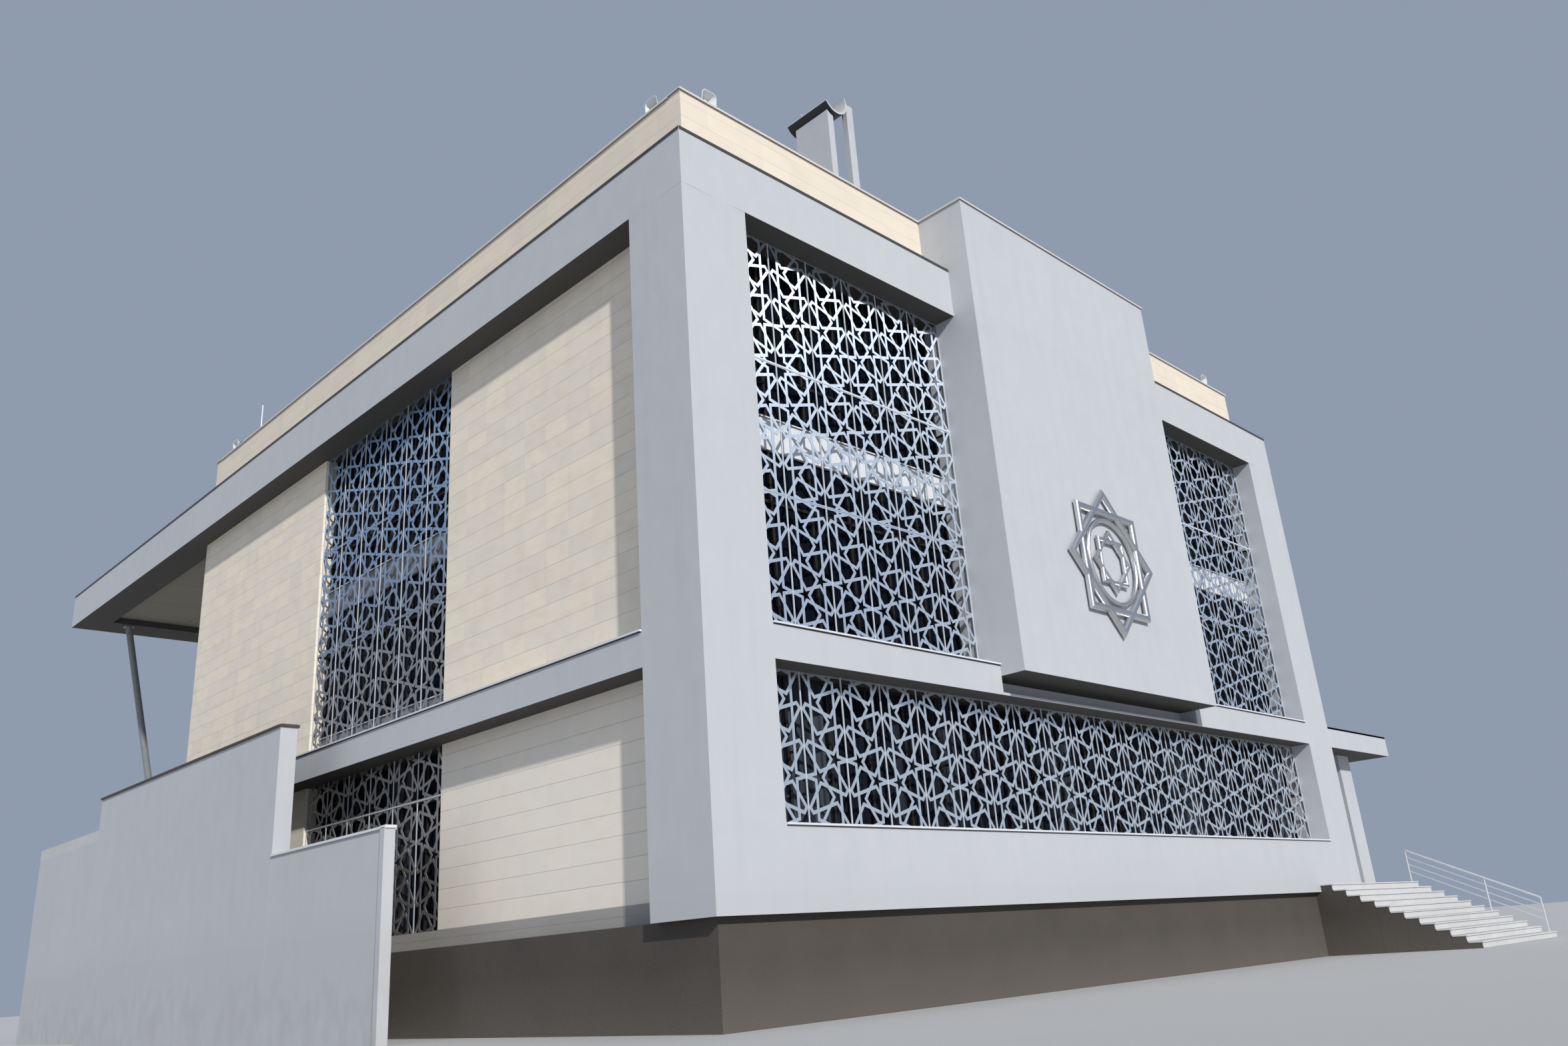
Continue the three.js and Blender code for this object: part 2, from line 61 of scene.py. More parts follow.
camera_up = CAMERA_RIGHT.cross(CAMERA_FORWARD)
camera.matrix_world = (
    Matrix.Translation(CAMERA_PLACE)
    @ Matrix((CAMERA_RIGHT, camera_up, -CAMERA_FORWARD)).transposed().to_4x4()
)
bpy.context.scene.collection.objects.link(camera)
bpy.context.scene.camera = camera
bpy.context.scene.view_settings.view_transform = "Standard"

KEY_DIRECTION = Vector((0.326, 0.785, -0.526))
FILL_DIRECTION = Vector((-0.55, -0.65, -0.52))
LEFT_DIRECTION = Vector((0.96, 0.05, -0.28))
SURROUND_COLOUR = (0.66, 0.79, 1.0, 1.0)
SURROUND_STRENGTH = 0.42


def add_sun(name, direction, strength, spread, colour):
    """A distant lamp that shines in a direction. Its spread is in degrees."""
    lamp = bpy.data.lights.new(name, "SUN")
    lamp.energy = strength
    lamp.angle = math.radians(spread)
    lamp.color = colour
    holder = bpy.data.objects.new(name, lamp)
    holder.rotation_euler = direction.to_track_quat("-Z", "Y").to_euler()
    bpy.context.scene.collection.objects.link(holder)


add_sun("key_light", KEY_DIRECTION, strength=3.3, spread=1.6, colour=(1.0, 0.965, 0.91))
add_sun("fill_light", FILL_DIRECTION, strength=0.35, spread=20.0, colour=(0.90, 0.95, 1.0))
add_sun("left_fill", LEFT_DIRECTION, strength=0.12, spread=30.0, colour=(1.0, 0.98, 0.95))

surround = bpy.data.worlds.new("surround")
surround.use_nodes = True
surround.node_tree.nodes["Background"].inputs["Color"].default_value = SURROUND_COLOUR
surround.node_tree.nodes["Background"].inputs["Strength"].default_value = SURROUND_STRENGTH
bpy.context.scene.world = surround


# Foundation, floors and roof slab, cast in concrete. The foundation that shows under the plaster frame is
# a rough render coloured near black as painted shade. Places below are metres from the frame's front
# left corner, and level zero is a little above that corner's foot.
FRAME_FOOT = -0.32
FORM_BOARD = 0.15
SPLASH_TOP = -0.9
SPLASH_FOOT = -1.8
LEFT_PILLAR_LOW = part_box("front_pillar_left")[0]
CORNER = Vector((LEFT_PILLAR_LOW.x, LEFT_PILLAR_LOW.y, LEFT_PILLAR_LOW.z - FRAME_FOOT))


def reach(node):
    """Lowest and highest corner of a CAD node, in metres from the frame's corner."""
    low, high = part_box(node)
    return Vector(low) - CORNER, Vector(high) - CORNER


class Flow:
    """One socket of a finish. Operators on it add the nodes of an expression."""

    def __init__(self, tree, socket):
        self.tree = tree
        self.socket = socket

    def node(self, kind, settings, sockets, output=0):
        added = self.tree.nodes.new("ShaderNode" + kind)
        for name, setting in settings.items():
            setattr(added, name, setting)
        for name, given in sockets.items():
            if isinstance(given, Flow):
                self.tree.links.new(given.socket, added.inputs[name])
            else:
                added.inputs[name].default_value = given
        return Flow(self.tree, added.outputs[output])

    def maths(self, operation, *others):
        return self.node("Math", {"operation": operation}, dict(enumerate((self, *others))))

    def __add__(self, other):
        return self.maths("ADD", other)

    def __sub__(self, other):
        return self.maths("SUBTRACT", other)

    def __mul__(self, other):
        return self.maths("MULTIPLY", other)

    def __truediv__(self, other):
        return self.maths("DIVIDE", other)

    def __rsub__(self, other):
        return self.node("Math", {"operation": "SUBTRACT"}, {0: other, 1: self})

    __radd__ = __add__
    __rmul__ = __mul__

    def axis(self, number):
        return self.node("SeparateXYZ", {}, {0: self}, output=number)

    def stretched(self, factors):
        return self.node("VectorMath", {"operation": "MULTIPLY"}, {0: self, 1: factors})

    def noise(self, scale, detail=4.0, factors=(1.0, 1.0, 1.0)):
        place = self.stretched(factors)
        return self.node("TexNoise", {}, {"Vector": place, "Scale": scale, "Detail": detail})

    def band(self, low, high):
        """Rises from 0 at low to 1 at high, or falls where low is the larger."""
        return self.node("MapRange", {}, {0: self, 1: low, 2: high})

    def blend(self, low, high):
        """The first colour where this is 0, the second where it is 1."""
        low = low if isinstance(low, Flow) else (*low, 1.0)
        high = high if isinstance(high, Flow) else (*high, 1.0)
        return self.node("Mix", {"data_type": "RGBA"}, {0: self, 6: low, 7: high}, output=2)

    def into(self, shader, name):
        self.tree.links.new(self.socket, shader.inputs[name])

    def relief(self, shader):
        """Use this as a height in metres on the finish's surface."""
        bump = self.node("Bump", {}, {"Strength": 1.0, "Distance": 1.0, "Height": self})
        self.tree.links.new(bump.socket, shader.inputs["Normal"])


def new_finish(name, roughness, metallic=0.0):
    """A finish with its shader, the place on the building and the way that the surface faces."""
    finish = bpy.data.materials.new(name)
    finish.use_nodes = True
    tree = finish.node_tree
    shader = tree.nodes["Principled BSDF"]
    shader.inputs["Roughness"].default_value = roughness
    shader.inputs["Metallic"].default_value = metallic
    coordinates = tree.nodes.new("ShaderNodeTexCoord")
    frame_place = Flow(tree, coordinates.outputs["Object"])
    place = frame_place.node("VectorMath", {"operation": "SUBTRACT"}, {0: frame_place, 1: CORNER})
    facing = Flow(tree, coordinates.outputs["Normal"])
    return finish, shader, place, facing


def paint(finish, *nodes):
    """Give a finish to CAD nodes that stay in sight."""
    for node in nodes:
        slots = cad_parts[node].material_slots
        for slot in slots:
            slot.material = finish


concrete, shader, place, facing = new_finish("concrete", 0.9)
patches = place.noise(0.5, 5.0)
board_marks = (place.axis(2) / FORM_BOARD).maths("FRACT").band(0.05, 0.0)
pits = place.noise(45.0, 3.0)
patches.blend((0.30, 0.29, 0.275), (0.42, 0.41, 0.395)).into(shader, "Base Color")
(0.86 + pits * 0.1).into(shader, "Roughness")
(pits * 0.0015 - board_marks * 0.002).relief(shader)

dark_render, shader, place, facing = new_finish("dark_render", 0.92)
patches = place.noise(1.1, 6.0)
grit = place.noise(38.0, 5.0)
splash = place.axis(2).band(SPLASH_TOP, SPLASH_FOOT)
ground_colour = patches.blend((0.055, 0.048, 0.042), (0.085, 0.074, 0.064))
(splash * 0.5).blend(ground_colour, (0.14, 0.125, 0.11)).into(shader, "Base Color")
(0.82 + grit * 0.15).into(shader, "Roughness")
(grit * 0.006 + patches * 0.004).relief(shader)

paint(concrete, "ground_floor_slab", "prayer_hall_floor", "roof_slab", "canopy_slab")
# The plinth's near-black colour is painted shade under the frame's foot.
paint(dark_render, "foundation_plinth")


# Plaster frame: pillars, beams, base wall, mihrab block, canopy and minaret. It is painted smooth render
# on concrete, with faint cloudy patches and thin rain streaks, a little darker in the band just below the
# foot of the top beams. Its undersides are coloured near black as painted shade. A hairline crack runs
# along the foot of the top beams, and the mihrab block in front of them is left clear of it.
BEAM_FOOT = 11.4
BLOCK_SIDE = -0.10
FRAME_SIDE = -0.04
plaster, shader, place, facing = new_finish("plaster", 0.84)
patches = place.noise(0.22, 5.0)
trowel = place.noise(2.6, 6.0, (1.0, 1.0, 0.7))
streaks = place.noise(3.2, 5.0, (1.0, 1.0, 0.05)).band(0.52, 0.72)
# Darker in the band just below the foot of the top beams.
below_beam_darkening = (place.axis(2) / BEAM_FOOT).maths("FRACT").band(0.9, 1.0)
upright_face = facing.axis(2).maths("ABSOLUTE").band(0.3, 0.1)
hairline = (place.axis(2) - BEAM_FOOT + trowel * 0.02).maths("ABSOLUTE").band(0.016, 0.008)
on_frame = place.axis(1).band(BLOCK_SIDE, FRAME_SIDE)
hairline = hairline * place.noise(0.9, 3.0).band(0.42, 0.55) * upright_face * on_frame
# Faces that look down are coloured near black: painted shade.
painted_underside_shade = facing.axis(2).band(-0.4, -0.7)
grime = place.axis(2).band(0.6, -1.2) * trowel.band(0.3, 0.7)
wall_colour = patches.blend((0.465, 0.488, 0.522), (0.525, 0.545, 0.582))
wall_colour = (trowel.band(0.35, 0.75) * 0.35).blend(wall_colour, (0.57, 0.585, 0.61))
wall_colour = (streaks * 0.07 + below_beam_darkening * 0.04).blend(wall_colour, (0.33, 0.335, 0.34))
wall_colour = (grime * 0.4).blend(wall_colour, (0.34, 0.325, 0.30))
wall_colour = (hairline * 0.35).blend(wall_colour, (0.22, 0.22, 0.22))
(painted_underside_shade * 0.93).blend(wall_colour, (0.036, 0.029, 0.019)).into(shader, "Base Color")
(0.78 + trowel * 0.12).into(shader, "Roughness")
(trowel * 0.0018 + place.noise(60.0, 3.0) * 0.0005).relief(shader)

paint(
    plaster,
    "front_pillar_left", "front_pillar_right", "front_top_beam_left", "front_top_beam_right",
    "left_top_beam", "right_top_beam", "canopy_end_beam", "front_mid_beam_left",
    "front_mid_beam_middle", "front_mid_beam_right", "front_base_wall", "left_mid_beam",
    "right_mid_beam", "mihrab_block", "terrace_wall_left", "terrace_wall_right",
    "terrace_wall_back", "side_canopy", "side_canopy_post", "minaret_slab", "minaret_post",
    "garden_wall", "low_garden_wall",
)


# Stone walls set back in the frame. They are faced with sawn limestone tiles in stack bond, 700 mm long
# and 353.5 mm high, with open horizontal joints and tight upright ones. Each tile has a slightly different
# tone, and those of the ground floor are paler.
TILE_LENGTH = 0.7
TILE_HEIGHT = 0.3535
TILE_JOINT_LEVEL = 9.9
TILE_JOINT_START = 7.575
STOREY_CHANGE = (3.6, 3.3)


def tiled_stone(name, warm, cool, joint_strength):
    """A stone finish between two tones, with its joints drawn more or less strongly."""
    finish, shader, place, facing = new_finish(name, 0.8)
    turned = facing.axis(0).maths("ABSOLUTE").band(0.4, 0.6)
    along = place.axis(0) * (1.0 - turned) + place.axis(1) * turned
    column = (along - TILE_JOINT_START) / TILE_LENGTH
    course = (place.axis(2) - TILE_JOINT_LEVEL) / TILE_HEIGHT
    across = column.maths("FRACT")
    upward = course.maths("FRACT")
    bed_joint = upward.maths("PINGPONG", 0.5).band(0.019, 0.008)
    head_joint = across.maths("PINGPONG", 0.5).band(0.006, 0.002)
    joints = bed_joint.maths("MAXIMUM", head_joint * 0.3)
    tile = place.node(
        "CombineXYZ", {}, {0: column.maths("FLOOR"), 1: course.maths("FLOOR"), 2: turned}
    )
    tone = place.node("TexWhiteNoise", {"noise_dimensions": "3D"}, {"Vector": tile})
    veins = place.noise(2.4, 7.0, (1.0, 1.0, 2.2))
    grain = place.noise(90.0, 3.0)
    colour = tone.blend(warm, cool)
    rose = place.node("TexWhiteNoise", {"noise_dimensions": "4D"}, {"Vector": tile, "W": 3.7})
    colour = (rose.band(0.6, 1.0) * 0.3).blend(colour, (0.80, 0.68, 0.58))
    colour = (veins.band(0.45, 0.8) * 0.4).blend(colour, (0.68, 0.59, 0.47))
    streaks = place.noise(2.6, 5.0, (1.0, 1.0, 0.05)).band(0.55, 0.75)
    colour = (streaks * 0.10).blend(colour, (0.50, 0.46, 0.41))
    lower_storey = place.axis(2).band(*STOREY_CHANGE)
    colour = (lower_storey * 0.5).blend(colour, (0.885, 0.84, 0.785))
    colour = (head_joint * 0.35).blend(colour, (0.92, 0.87, 0.77))
    (bed_joint * joint_strength).blend(colour, (0.40, 0.35, 0.29)).into(shader, "Base Color")
    (0.68 + grain * 0.12 + joints * 0.1 + tone * 0.06).into(shader, "Roughness")
    (grain * 0.0006 + veins * 0.0012 + tone * 0.0015 - joints * 0.003).relief(shader)
    return finish


stone = tiled_stone("stone", (0.885, 0.795, 0.655), (0.79, 0.735, 0.645), 0.45)
paint(
    stone,
    "left_stone_wall_front", "left_stone_wall_rear", "right_stone_wall_front",
    "right_stone_wall_rear", "back_wall",
)


# Parapets of the same stone, in tones that differ less, with fainter joints. A thin folded metal coping
# covers their top in lengths of two and a half metres, with an open joint between two lengths.
parapet_stone = tiled_stone("parapet_stone", (0.80, 0.715, 0.59), (0.74, 0.67, 0.57), 0.15)
PARAPETS = (
    "parapet_front_left", "parapet_front_right", "parapet_left", "parapet_right", "parapet_back",
)
paint(parapet_stone, *PARAPETS)

COPING_LENGTH = 2.5
COPING_JOINT = 0.005
COPING_THICKNESS = 0.032
COPING_OVERHANG = 0.035
COPING_DRIP = 0.02
PARAPET_HALF = 0.15
MIHRAB_GAP = 0.002


def add_sweep(shape, path, section, out, closed=False):
    """Run a section of (across, out) points along a flat path, mitred at the corners."""
    path = [Vector(point) for point in path]
    out = Vector(out)
    rings = []
    for number, point in enumerate(path):
        arms = []
        if closed or number > 0:
            arms.append(out.cross((point - path[number - 1]).normalized()))
        if closed or number < len(path) - 1:
            following = path[(number + 1) % len(path)]
            arms.append(out.cross((following - point).normalized()))
        mitre = (arms[0] + arms[-1]) / (1.0 + arms[0].dot(arms[-1]))
        rings.append([shape.verts.new(point + mitre * a + out * b) for a, b in section])
    count = len(section)
    last = len(rings) if closed else len(rings) - 1
    for number in range(last):
        near, far = rings[number], rings[(number + 1) % len(rings)]
        for corner in range(count):
            beyond = (corner + 1) % count
            shape.faces.new((near[corner], near[beyond], far[beyond], far[corner]))
    if not closed:
        shape.faces.new(rings[0][::-1])
        shape.faces.new(rings[-1])


def add_lengths(shape, start, end, section, out=(0.0, 0.0, 1.0), length=COPING_LENGTH):
    """A straight run of a section in separate lengths with open joints."""
    start, end = Vector(start), Vector(end)
    run = end - start
    count = max(1, round(run.length / length))
    gap = run.normalized() * COPING_JOINT / 2
    for number in range(count):
        first = start + run * (number / count)
        last = start + run * ((number + 1) / count)
        add_sweep(shape, [first + gap, last - gap], section, out)


def new_piece(name, shape, finish, replaced=(), smooth=20.0):
    """Hand over a shape that was drawn in metres from the frame's corner."""
    bmesh.ops.translate(shape, vec=CORNER, verts=shape.verts)
    bmesh.ops.recalc_face_normals(shape, faces=shape.faces)
    for face in shape.faces:
        face.smooth = True
    mesh = bpy.data.meshes.new(name)
    shape.to_mesh(mesh)
    shape.free()
    mesh.set_sharp_from_angle(angle=math.radians(smooth))
    mesh.materials.append(finish)
    piece = bpy.data.objects.new(name, mesh)
    bpy.context.scene.collection.objects.link(piece)
    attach(piece, "root")
    if replaced:
        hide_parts(*replaced)
    return piece


def cap_section(left, right, thickness=COPING_THICKNESS, drip=COPING_DRIP):
    """A folded cap over a wall that reaches from left to right of its path, with drips down both sides."""
    groove = 0.012
    return [
        (-right, -drip), (-right + groove, -drip), (-right + groove, 0.002),
        (left - groove, 0.002), (left - groove, -drip), (left, -drip),
        (left, thickness - 0.004), (left - 0.004, thickness),
        (-right + 0.004, thickness), (-right, thickness - 0.004),
    ]


coping_metal, shader, place, facing = new_finish("coping_metal", 0.45, 0.1)
dust = place.noise(1.7, 5.0)
scuffs = place.noise(26.0, 4.0)
top_dust = facing.axis(2).band(0.5, 0.9) * dust.band(0.3, 0.7)
coping_colour = dust.blend((0.60, 0.59, 0.58), (0.70, 0.69, 0.67))
coping_colour = (top_dust * 0.5).blend(coping_colour, (0.46, 0.41, 0.34))
# Undersides of the coping are coloured dark pink-brown as painted shade.
coping_underside_painted_shade = facing.axis(2).band(-0.4, -0.7) * 0.8
coping_underside_painted_shade.blend(coping_colour, (0.20, 0.12, 0.095)).into(shader, "Base Color")
(0.38 + scuffs * 0.2).into(shader, "Roughness")
(scuffs * 0.0003).relief(shader)

shape = bmesh.new()
half_cap = PARAPET_HALF + COPING_OVERHANG
for node in PARAPETS:
    low, high = reach(node)
    middle = (low + high) / 2
    if high.x - low.x > high.y - low.y:
        start = (low.x - COPING_OVERHANG, middle.y, high.z)
        end = (high.x + COPING_OVERHANG, middle.y, high.z)
        if node == "parapet_front_left":
            end = (high.x - MIHRAB_GAP, middle.y, high.z)
        if node == "parapet_front_right":
            start = (low.x + MIHRAB_GAP, middle.y, high.z)
    else:
        start = (middle.x, low.y + COPING_OVERHANG, high.z)
        end = (middle.x, high.y - COPING_OVERHANG, high.z)
    add_lengths(shape, start, end, cap_section(half_cap, half_cap))
new_piece("parapet_copings", shape, coping_metal)


# Edge trim along the top of the plaster frame: a dark painted angle that is fixed under the roof membrane
# and laps a few centimetres over the render. It ends flush with the rear canopy's end face.
dark_trim, shader, place, facing = new_finish("dark_trim", 0.5, 0.3)
wear = place.noise(14.0, 5.0)
wear.blend((0.050, 0.050, 0.054), (0.085, 0.084, 0.084)).into(shader, "Base Color")
(0.42 + wear * 0.2).into(shader, "Roughness")
(wear * 0.0003).relief(shader)

frame_low, frame_high = reach("front_top_beam_left")
canopy_low, canopy_high = reach("canopy_end_beam")
FRAME_TOP = frame_high.z
TRIM_LIP = 0.045
TRIM_REACH = 0.14
TRIM_FACE = 0.012
TRIM_BACK = 0.008
trim_section = [
    (-TRIM_FACE, -TRIM_LIP), (-TRIM_BACK, -TRIM_LIP), (-TRIM_BACK, TRIM_BACK), (TRIM_REACH, TRIM_BACK),
    (TRIM_REACH, TRIM_FACE), (-TRIM_FACE, TRIM_FACE),
]
trim_runs = [
    ((canopy_low.x, frame_low.y, FRAME_TOP), (frame_high.x, frame_low.y, FRAME_TOP)),
    ((reach("mihrab_block")[1].x, frame_low.y, FRAME_TOP), (canopy_high.x, frame_low.y, FRAME_TOP)),
    ((canopy_high.x, frame_low.y, FRAME_TOP), (canopy_high.x, canopy_high.y, FRAME_TOP)),
    ((canopy_low.x, canopy_high.y, FRAME_TOP), (canopy_low.x, frame_low.y, FRAME_TOP)),
]
shape = bmesh.new()
for start, end in trim_runs:
    add_lengths(shape, start, end, trim_section)
new_piece("frame_edge_trim", shape, dark_trim)

shape = bmesh.new()
flush_trim = [(across + TRIM_FACE, out) for across, out in trim_section]
add_lengths(
    shape, (canopy_high.x, canopy_high.y, FRAME_TOP), (canopy_low.x, canopy_high.y, FRAME_TOP),
    flush_trim,
)
new_piece("canopy_edge_trim", shape, dark_trim)


# Roof membrane on the hall and on the rear canopy: grey felt sheets a metre wide, welded side by side
# with a lap where some bitumen has run out, and turned up against the inside of the parapets.
membrane, shader, place, facing = new_finish("roof_membrane", 0.88)
puddles = place.noise(0.35, 6.0)
dust = place.noise(3.0, 6.0)
grit = place.noise(120.0, 2.0)
sheet_tone = place.node("NewGeometry", {}, {}, output="Random Per Island")
felt = (sheet_tone * 0.6 + dust * 0.4).blend((0.20, 0.20, 0.205), (0.30, 0.295, 0.285))
(puddles.band(0.5, 0.7) * 0.45).blend(felt, (0.17, 0.16, 0.145)).into(shader, "Base Color")
(0.8 + grit * 0.15).into(shader, "Roughness")
(grit * 0.001 + dust * 0.002).relief(shader)

bitumen, shader, place, facing = new_finish("bitumen", 0.4)
crust = place.noise(25.0, 4.0)
crust.blend((0.022, 0.021, 0.020), (0.065, 0.062, 0.058)).into(shader, "Base Color")
(0.3 + crust * 0.3).into(shader, "Roughness")
(crust * 0.0006).relief(shader)

SHEET_WIDTH = 1.0
SHEET_LAP = 0.1
SHEET_THICKNESS = 0.006
BEAD_WIDTH = 0.02
BEAD_RISE = 0.004
FILLET_WIDTH = 0.07
FILLET_RISE = 0.06
UPSTAND = 0.15
UPSTAND_FOOT = 0.012
UPSTAND_HEAD = 0.008
MEMBRANE_LIFT = 0.004


def add_block(shape, low, high, edge=0.004):
    """A block between two corners with small bevelled edges."""
    low, high = Vector(low), Vector(high)
    spread = Matrix.Diagonal((*(high - low), 1.0))
    made = bmesh.ops.create_cube(shape, size=1.0, matrix=Matrix.Translation((low + high) / 2) @ spread)
    edges = {joined for corner in made["verts"] for joined in corner.link_edges}
    bmesh.ops.bevel(shape, geom=list(edges), offset=edge, segments=2, affect="EDGES", profile=0.5)


def add_membrane(shape, beads, across, run, level):
    """Sheets laid from the front to the back of a roof, with a bead of bitumen along each lap."""
    count = round((run[1] - run[0]) / SHEET_WIDTH)
    pitch = (run[1] - run[0]) / count
    foot = level + MEMBRANE_LIFT
    for number in range(count):
        front = run[0] + number * pitch
        back = min(front + pitch + SHEET_LAP, run[1])
        section = [
            (front, foot), (back, foot + SHEET_THICKNESS), (back, foot + SHEET_THICKNESS * 2),
            (front, foot + SHEET_THICKNESS),
        ]
        near = [shape.verts.new((across[0], y, z)) for y, z in section]
        far = [shape.verts.new((across[1], y, z)) for y, z in section]
        for corner in range(4):
            beyond = (corner + 1) % 4
            shape.faces.new((near[corner], near[beyond], far[beyond], far[corner]))
        shape.faces.new(near[::-1])
        shape.faces.new(far)
        if number < count - 1:
            bead_top = foot + SHEET_THICKNESS + BEAD_RISE
            add_block(beads, (across[0], back, foot), (across[1], back + BEAD_WIDTH, bead_top), 0.002)


shape = bmesh.new()
beads = bmesh.new()
parapet_low, parapet_high = reach("parapet_left")
hall_across = (parapet_high.x, reach("parapet_right")[0].x)
hall_run = (parapet_low.y, parapet_high.y)
canopy_across = (TRIM_REACH, canopy_high.x - TRIM_REACH)
canopy_run = (reach("parapet_back")[1].y, canopy_high.y - TRIM_REACH)
add_membrane(shape, beads, hall_across, hall_run, FRAME_TOP)
add_membrane(shape, beads, canopy_across, canopy_run, FRAME_TOP)
border = [
    (hall_across[0], hall_run[0], FRAME_TOP), (hall_across[1], hall_run[0], FRAME_TOP),
    (hall_across[1], hall_run[1], FRAME_TOP), (hall_across[0], hall_run[1], FRAME_TOP),
]
upstand = [
    (0.0, 0.0), (FILLET_WIDTH, 0.0), (UPSTAND_FOOT, FILLET_RISE), (UPSTAND_HEAD, UPSTAND), (0.0, UPSTAND),
]
add_sweep(shape, border, upstand, (0.0, 0.0, 1.0), closed=True)
new_piece("roof_membrane", shape, membrane)
new_piece("membrane_seams", beads, bitumen)


# Sills and ledge plates on the middle beams and on the base wall: white coated metal that stands out
# over the render with a folded front lip and leaves a shadow line under it. The coat's undersides are
# coloured near black as painted shade.
white_coat, shader, place, facing = new_finish("white_coat", 0.42, 0.05)
dust = place.noise(2.1, 5.0)
scuffs = place.noise(31.0, 4.0)
coat_colour = dust.blend((0.66, 0.69, 0.74), (0.76, 0.78, 0.82))
coat_colour = (facing.axis(2).band(0.6, 0.95) * 0.35).blend(coat_colour, (0.50, 0.46, 0.40))
# Undersides are coloured near black: painted shade.
coat_underside_painted_shade = facing.axis(2).band(-0.4, -0.7) * 0.9
coat_underside_painted_shade.blend(coat_colour, (0.05, 0.045, 0.04)).into(shader, "Base Color")
(0.36 + scuffs * 0.18).into(shader, "Roughness")
(scuffs * 0.0002).relief(shader)

SILL_GAP = 0.014
SILL_THICKNESS = 0.036
SILL_OVERHANG = 0.035
SILL_LIP = 0.03
SILL_BED = -0.004
FRONT_SILL_DEPTH = 0.80
SIDE_SILL_DEPTH = 0.54


def sill_section(depth):
    """A plate from its lip at the beam's face back to the given depth, left of its path."""
    top = SILL_GAP + SILL_THICKNESS
    out = SILL_OVERHANG
    return [
        (-out + 0.003, SILL_GAP), (SILL_LIP, SILL_GAP), (SILL_LIP, SILL_BED), (depth, SILL_BED),
        (depth, top), (-out + 0.005, top), (-out, top - 0.005), (-out, SILL_GAP + 0.003),
    ]


shape = bmesh.new()
for node in ("front_mid_beam_left", "front_mid_beam_right", "front_base_wall"):
    low, high = reach(node)
    add_lengths(shape, (low.x, low.y, high.z), (high.x, low.y, high.z), sill_section(FRONT_SILL_DEPTH))
low, high = reach("left_mid_beam")
add_lengths(shape, (low.x, high.y, high.z), (low.x, low.y, high.z), sill_section(SIDE_SILL_DEPTH))
low, high = reach("right_mid_beam")
add_lengths(shape, (high.x, low.y, high.z), (high.x, high.y, high.z), sill_section(SIDE_SILL_DEPTH))
new_piece("sill_plates", shape, white_coat)


# Windows behind the lattice: dark tinted glass in dark frames. Its colour has faint pale fold-like streaks,
# stronger on the ground floor. The frames' uprights stand behind the lattice posts, their rails at the
# sheets' seams.
glass, shader, place, facing = new_finish("dark_window_glass", 0.06)
turned = facing.axis(0).maths("ABSOLUTE").band(0.4, 0.6)
along = place.axis(0) * (1.0 - turned) + place.axis(1) * turned
fold_place = place.node("CombineXYZ", {}, {0: along, 1: place.axis(2) * 0.03})
folds = fold_place.noise(7.5, 3.0).band(0.38, 0.66)
wide_folds = fold_place.noise(0.55, 2.0).band(0.50, 0.60)
smears = place.noise(3.0, 5.0)
ground_floor = place.axis(2).band(*STOREY_CHANGE)
# Pale fold-like streaks in the glass's colour, stronger on the ground floor.
pale_streaks = 0.03 * folds + ground_floor * wide_folds * (0.15 + 0.5 * folds)
room = ground_floor.blend((0.003, 0.005, 0.011), (0.007, 0.009, 0.016))
pale_streaks.blend(room, (0.10, 0.115, 0.145)).into(shader, "Base Color")
(0.05 + smears * 0.06).into(shader, "Roughness")
shader.inputs["Specular IOR Level"].default_value = 0.025
paint(
    glass,
    "front_glass_upper_left", "front_glass_upper_right", "front_glass_lower", "left_glass", "right_glass",
)

frame_coat, shader, place, facing = new_finish("window_frame_coat", 0.45, 0.2)
wear = place.noise(17.0, 4.0)
wear.blend((0.012, 0.011, 0.011), (0.022, 0.020, 0.020)).into(shader, "Base Color")
(0.40 + wear * 0.2).into(shader, "Roughness")
(wear * 0.0002).relief(shader)

FRAME_BAR = 0.055
FRAME_BAR_DEPTH = 0.07
FRAME_BAR_STEP = 0.006
GLASS_DEPTH = 0.854
GLASS_REBATE = 0.022
GLASS_BED = 0.004
UPPER_SHEETS = 3
SIDE_LOWER_SEAM = 2.46


class Opening:
    """A lattice opening. Places in it are metres across from its left end, seen from outside, inward from
    its face, and up."""

    def __init__(self, name, screen, bays, face, inward, seams):
        low, high = reach(screen)
        self.name = name
        self.screen = screen
        self.bottom = low.z
        self.top = high.z
        self.inward = Vector(inward)
        self.along = Vector((0.0, 0.0, 1.0)).cross(-self.inward)
        ends = [self.along.dot(low), self.along.dot(high)]
        self.width = max(ends) - min(ends)
        self.start = self.along * min(ends) + self.inward * face
        self.bays = bays
        self.pitch = self.width / bays
        self.seams = seams

    def at(self, across, depth, level):
        return self.start + self.along * across + self.inward * depth + Vector((0.0, 0.0, level))


def inward_face(inward, beam):
    """How far the outer face of the beam round an opening lies along the inward direction."""
    low, high = reach(beam)
    inward = Vector(inward)
    return min(inward.dot(low), inward.dot(high))


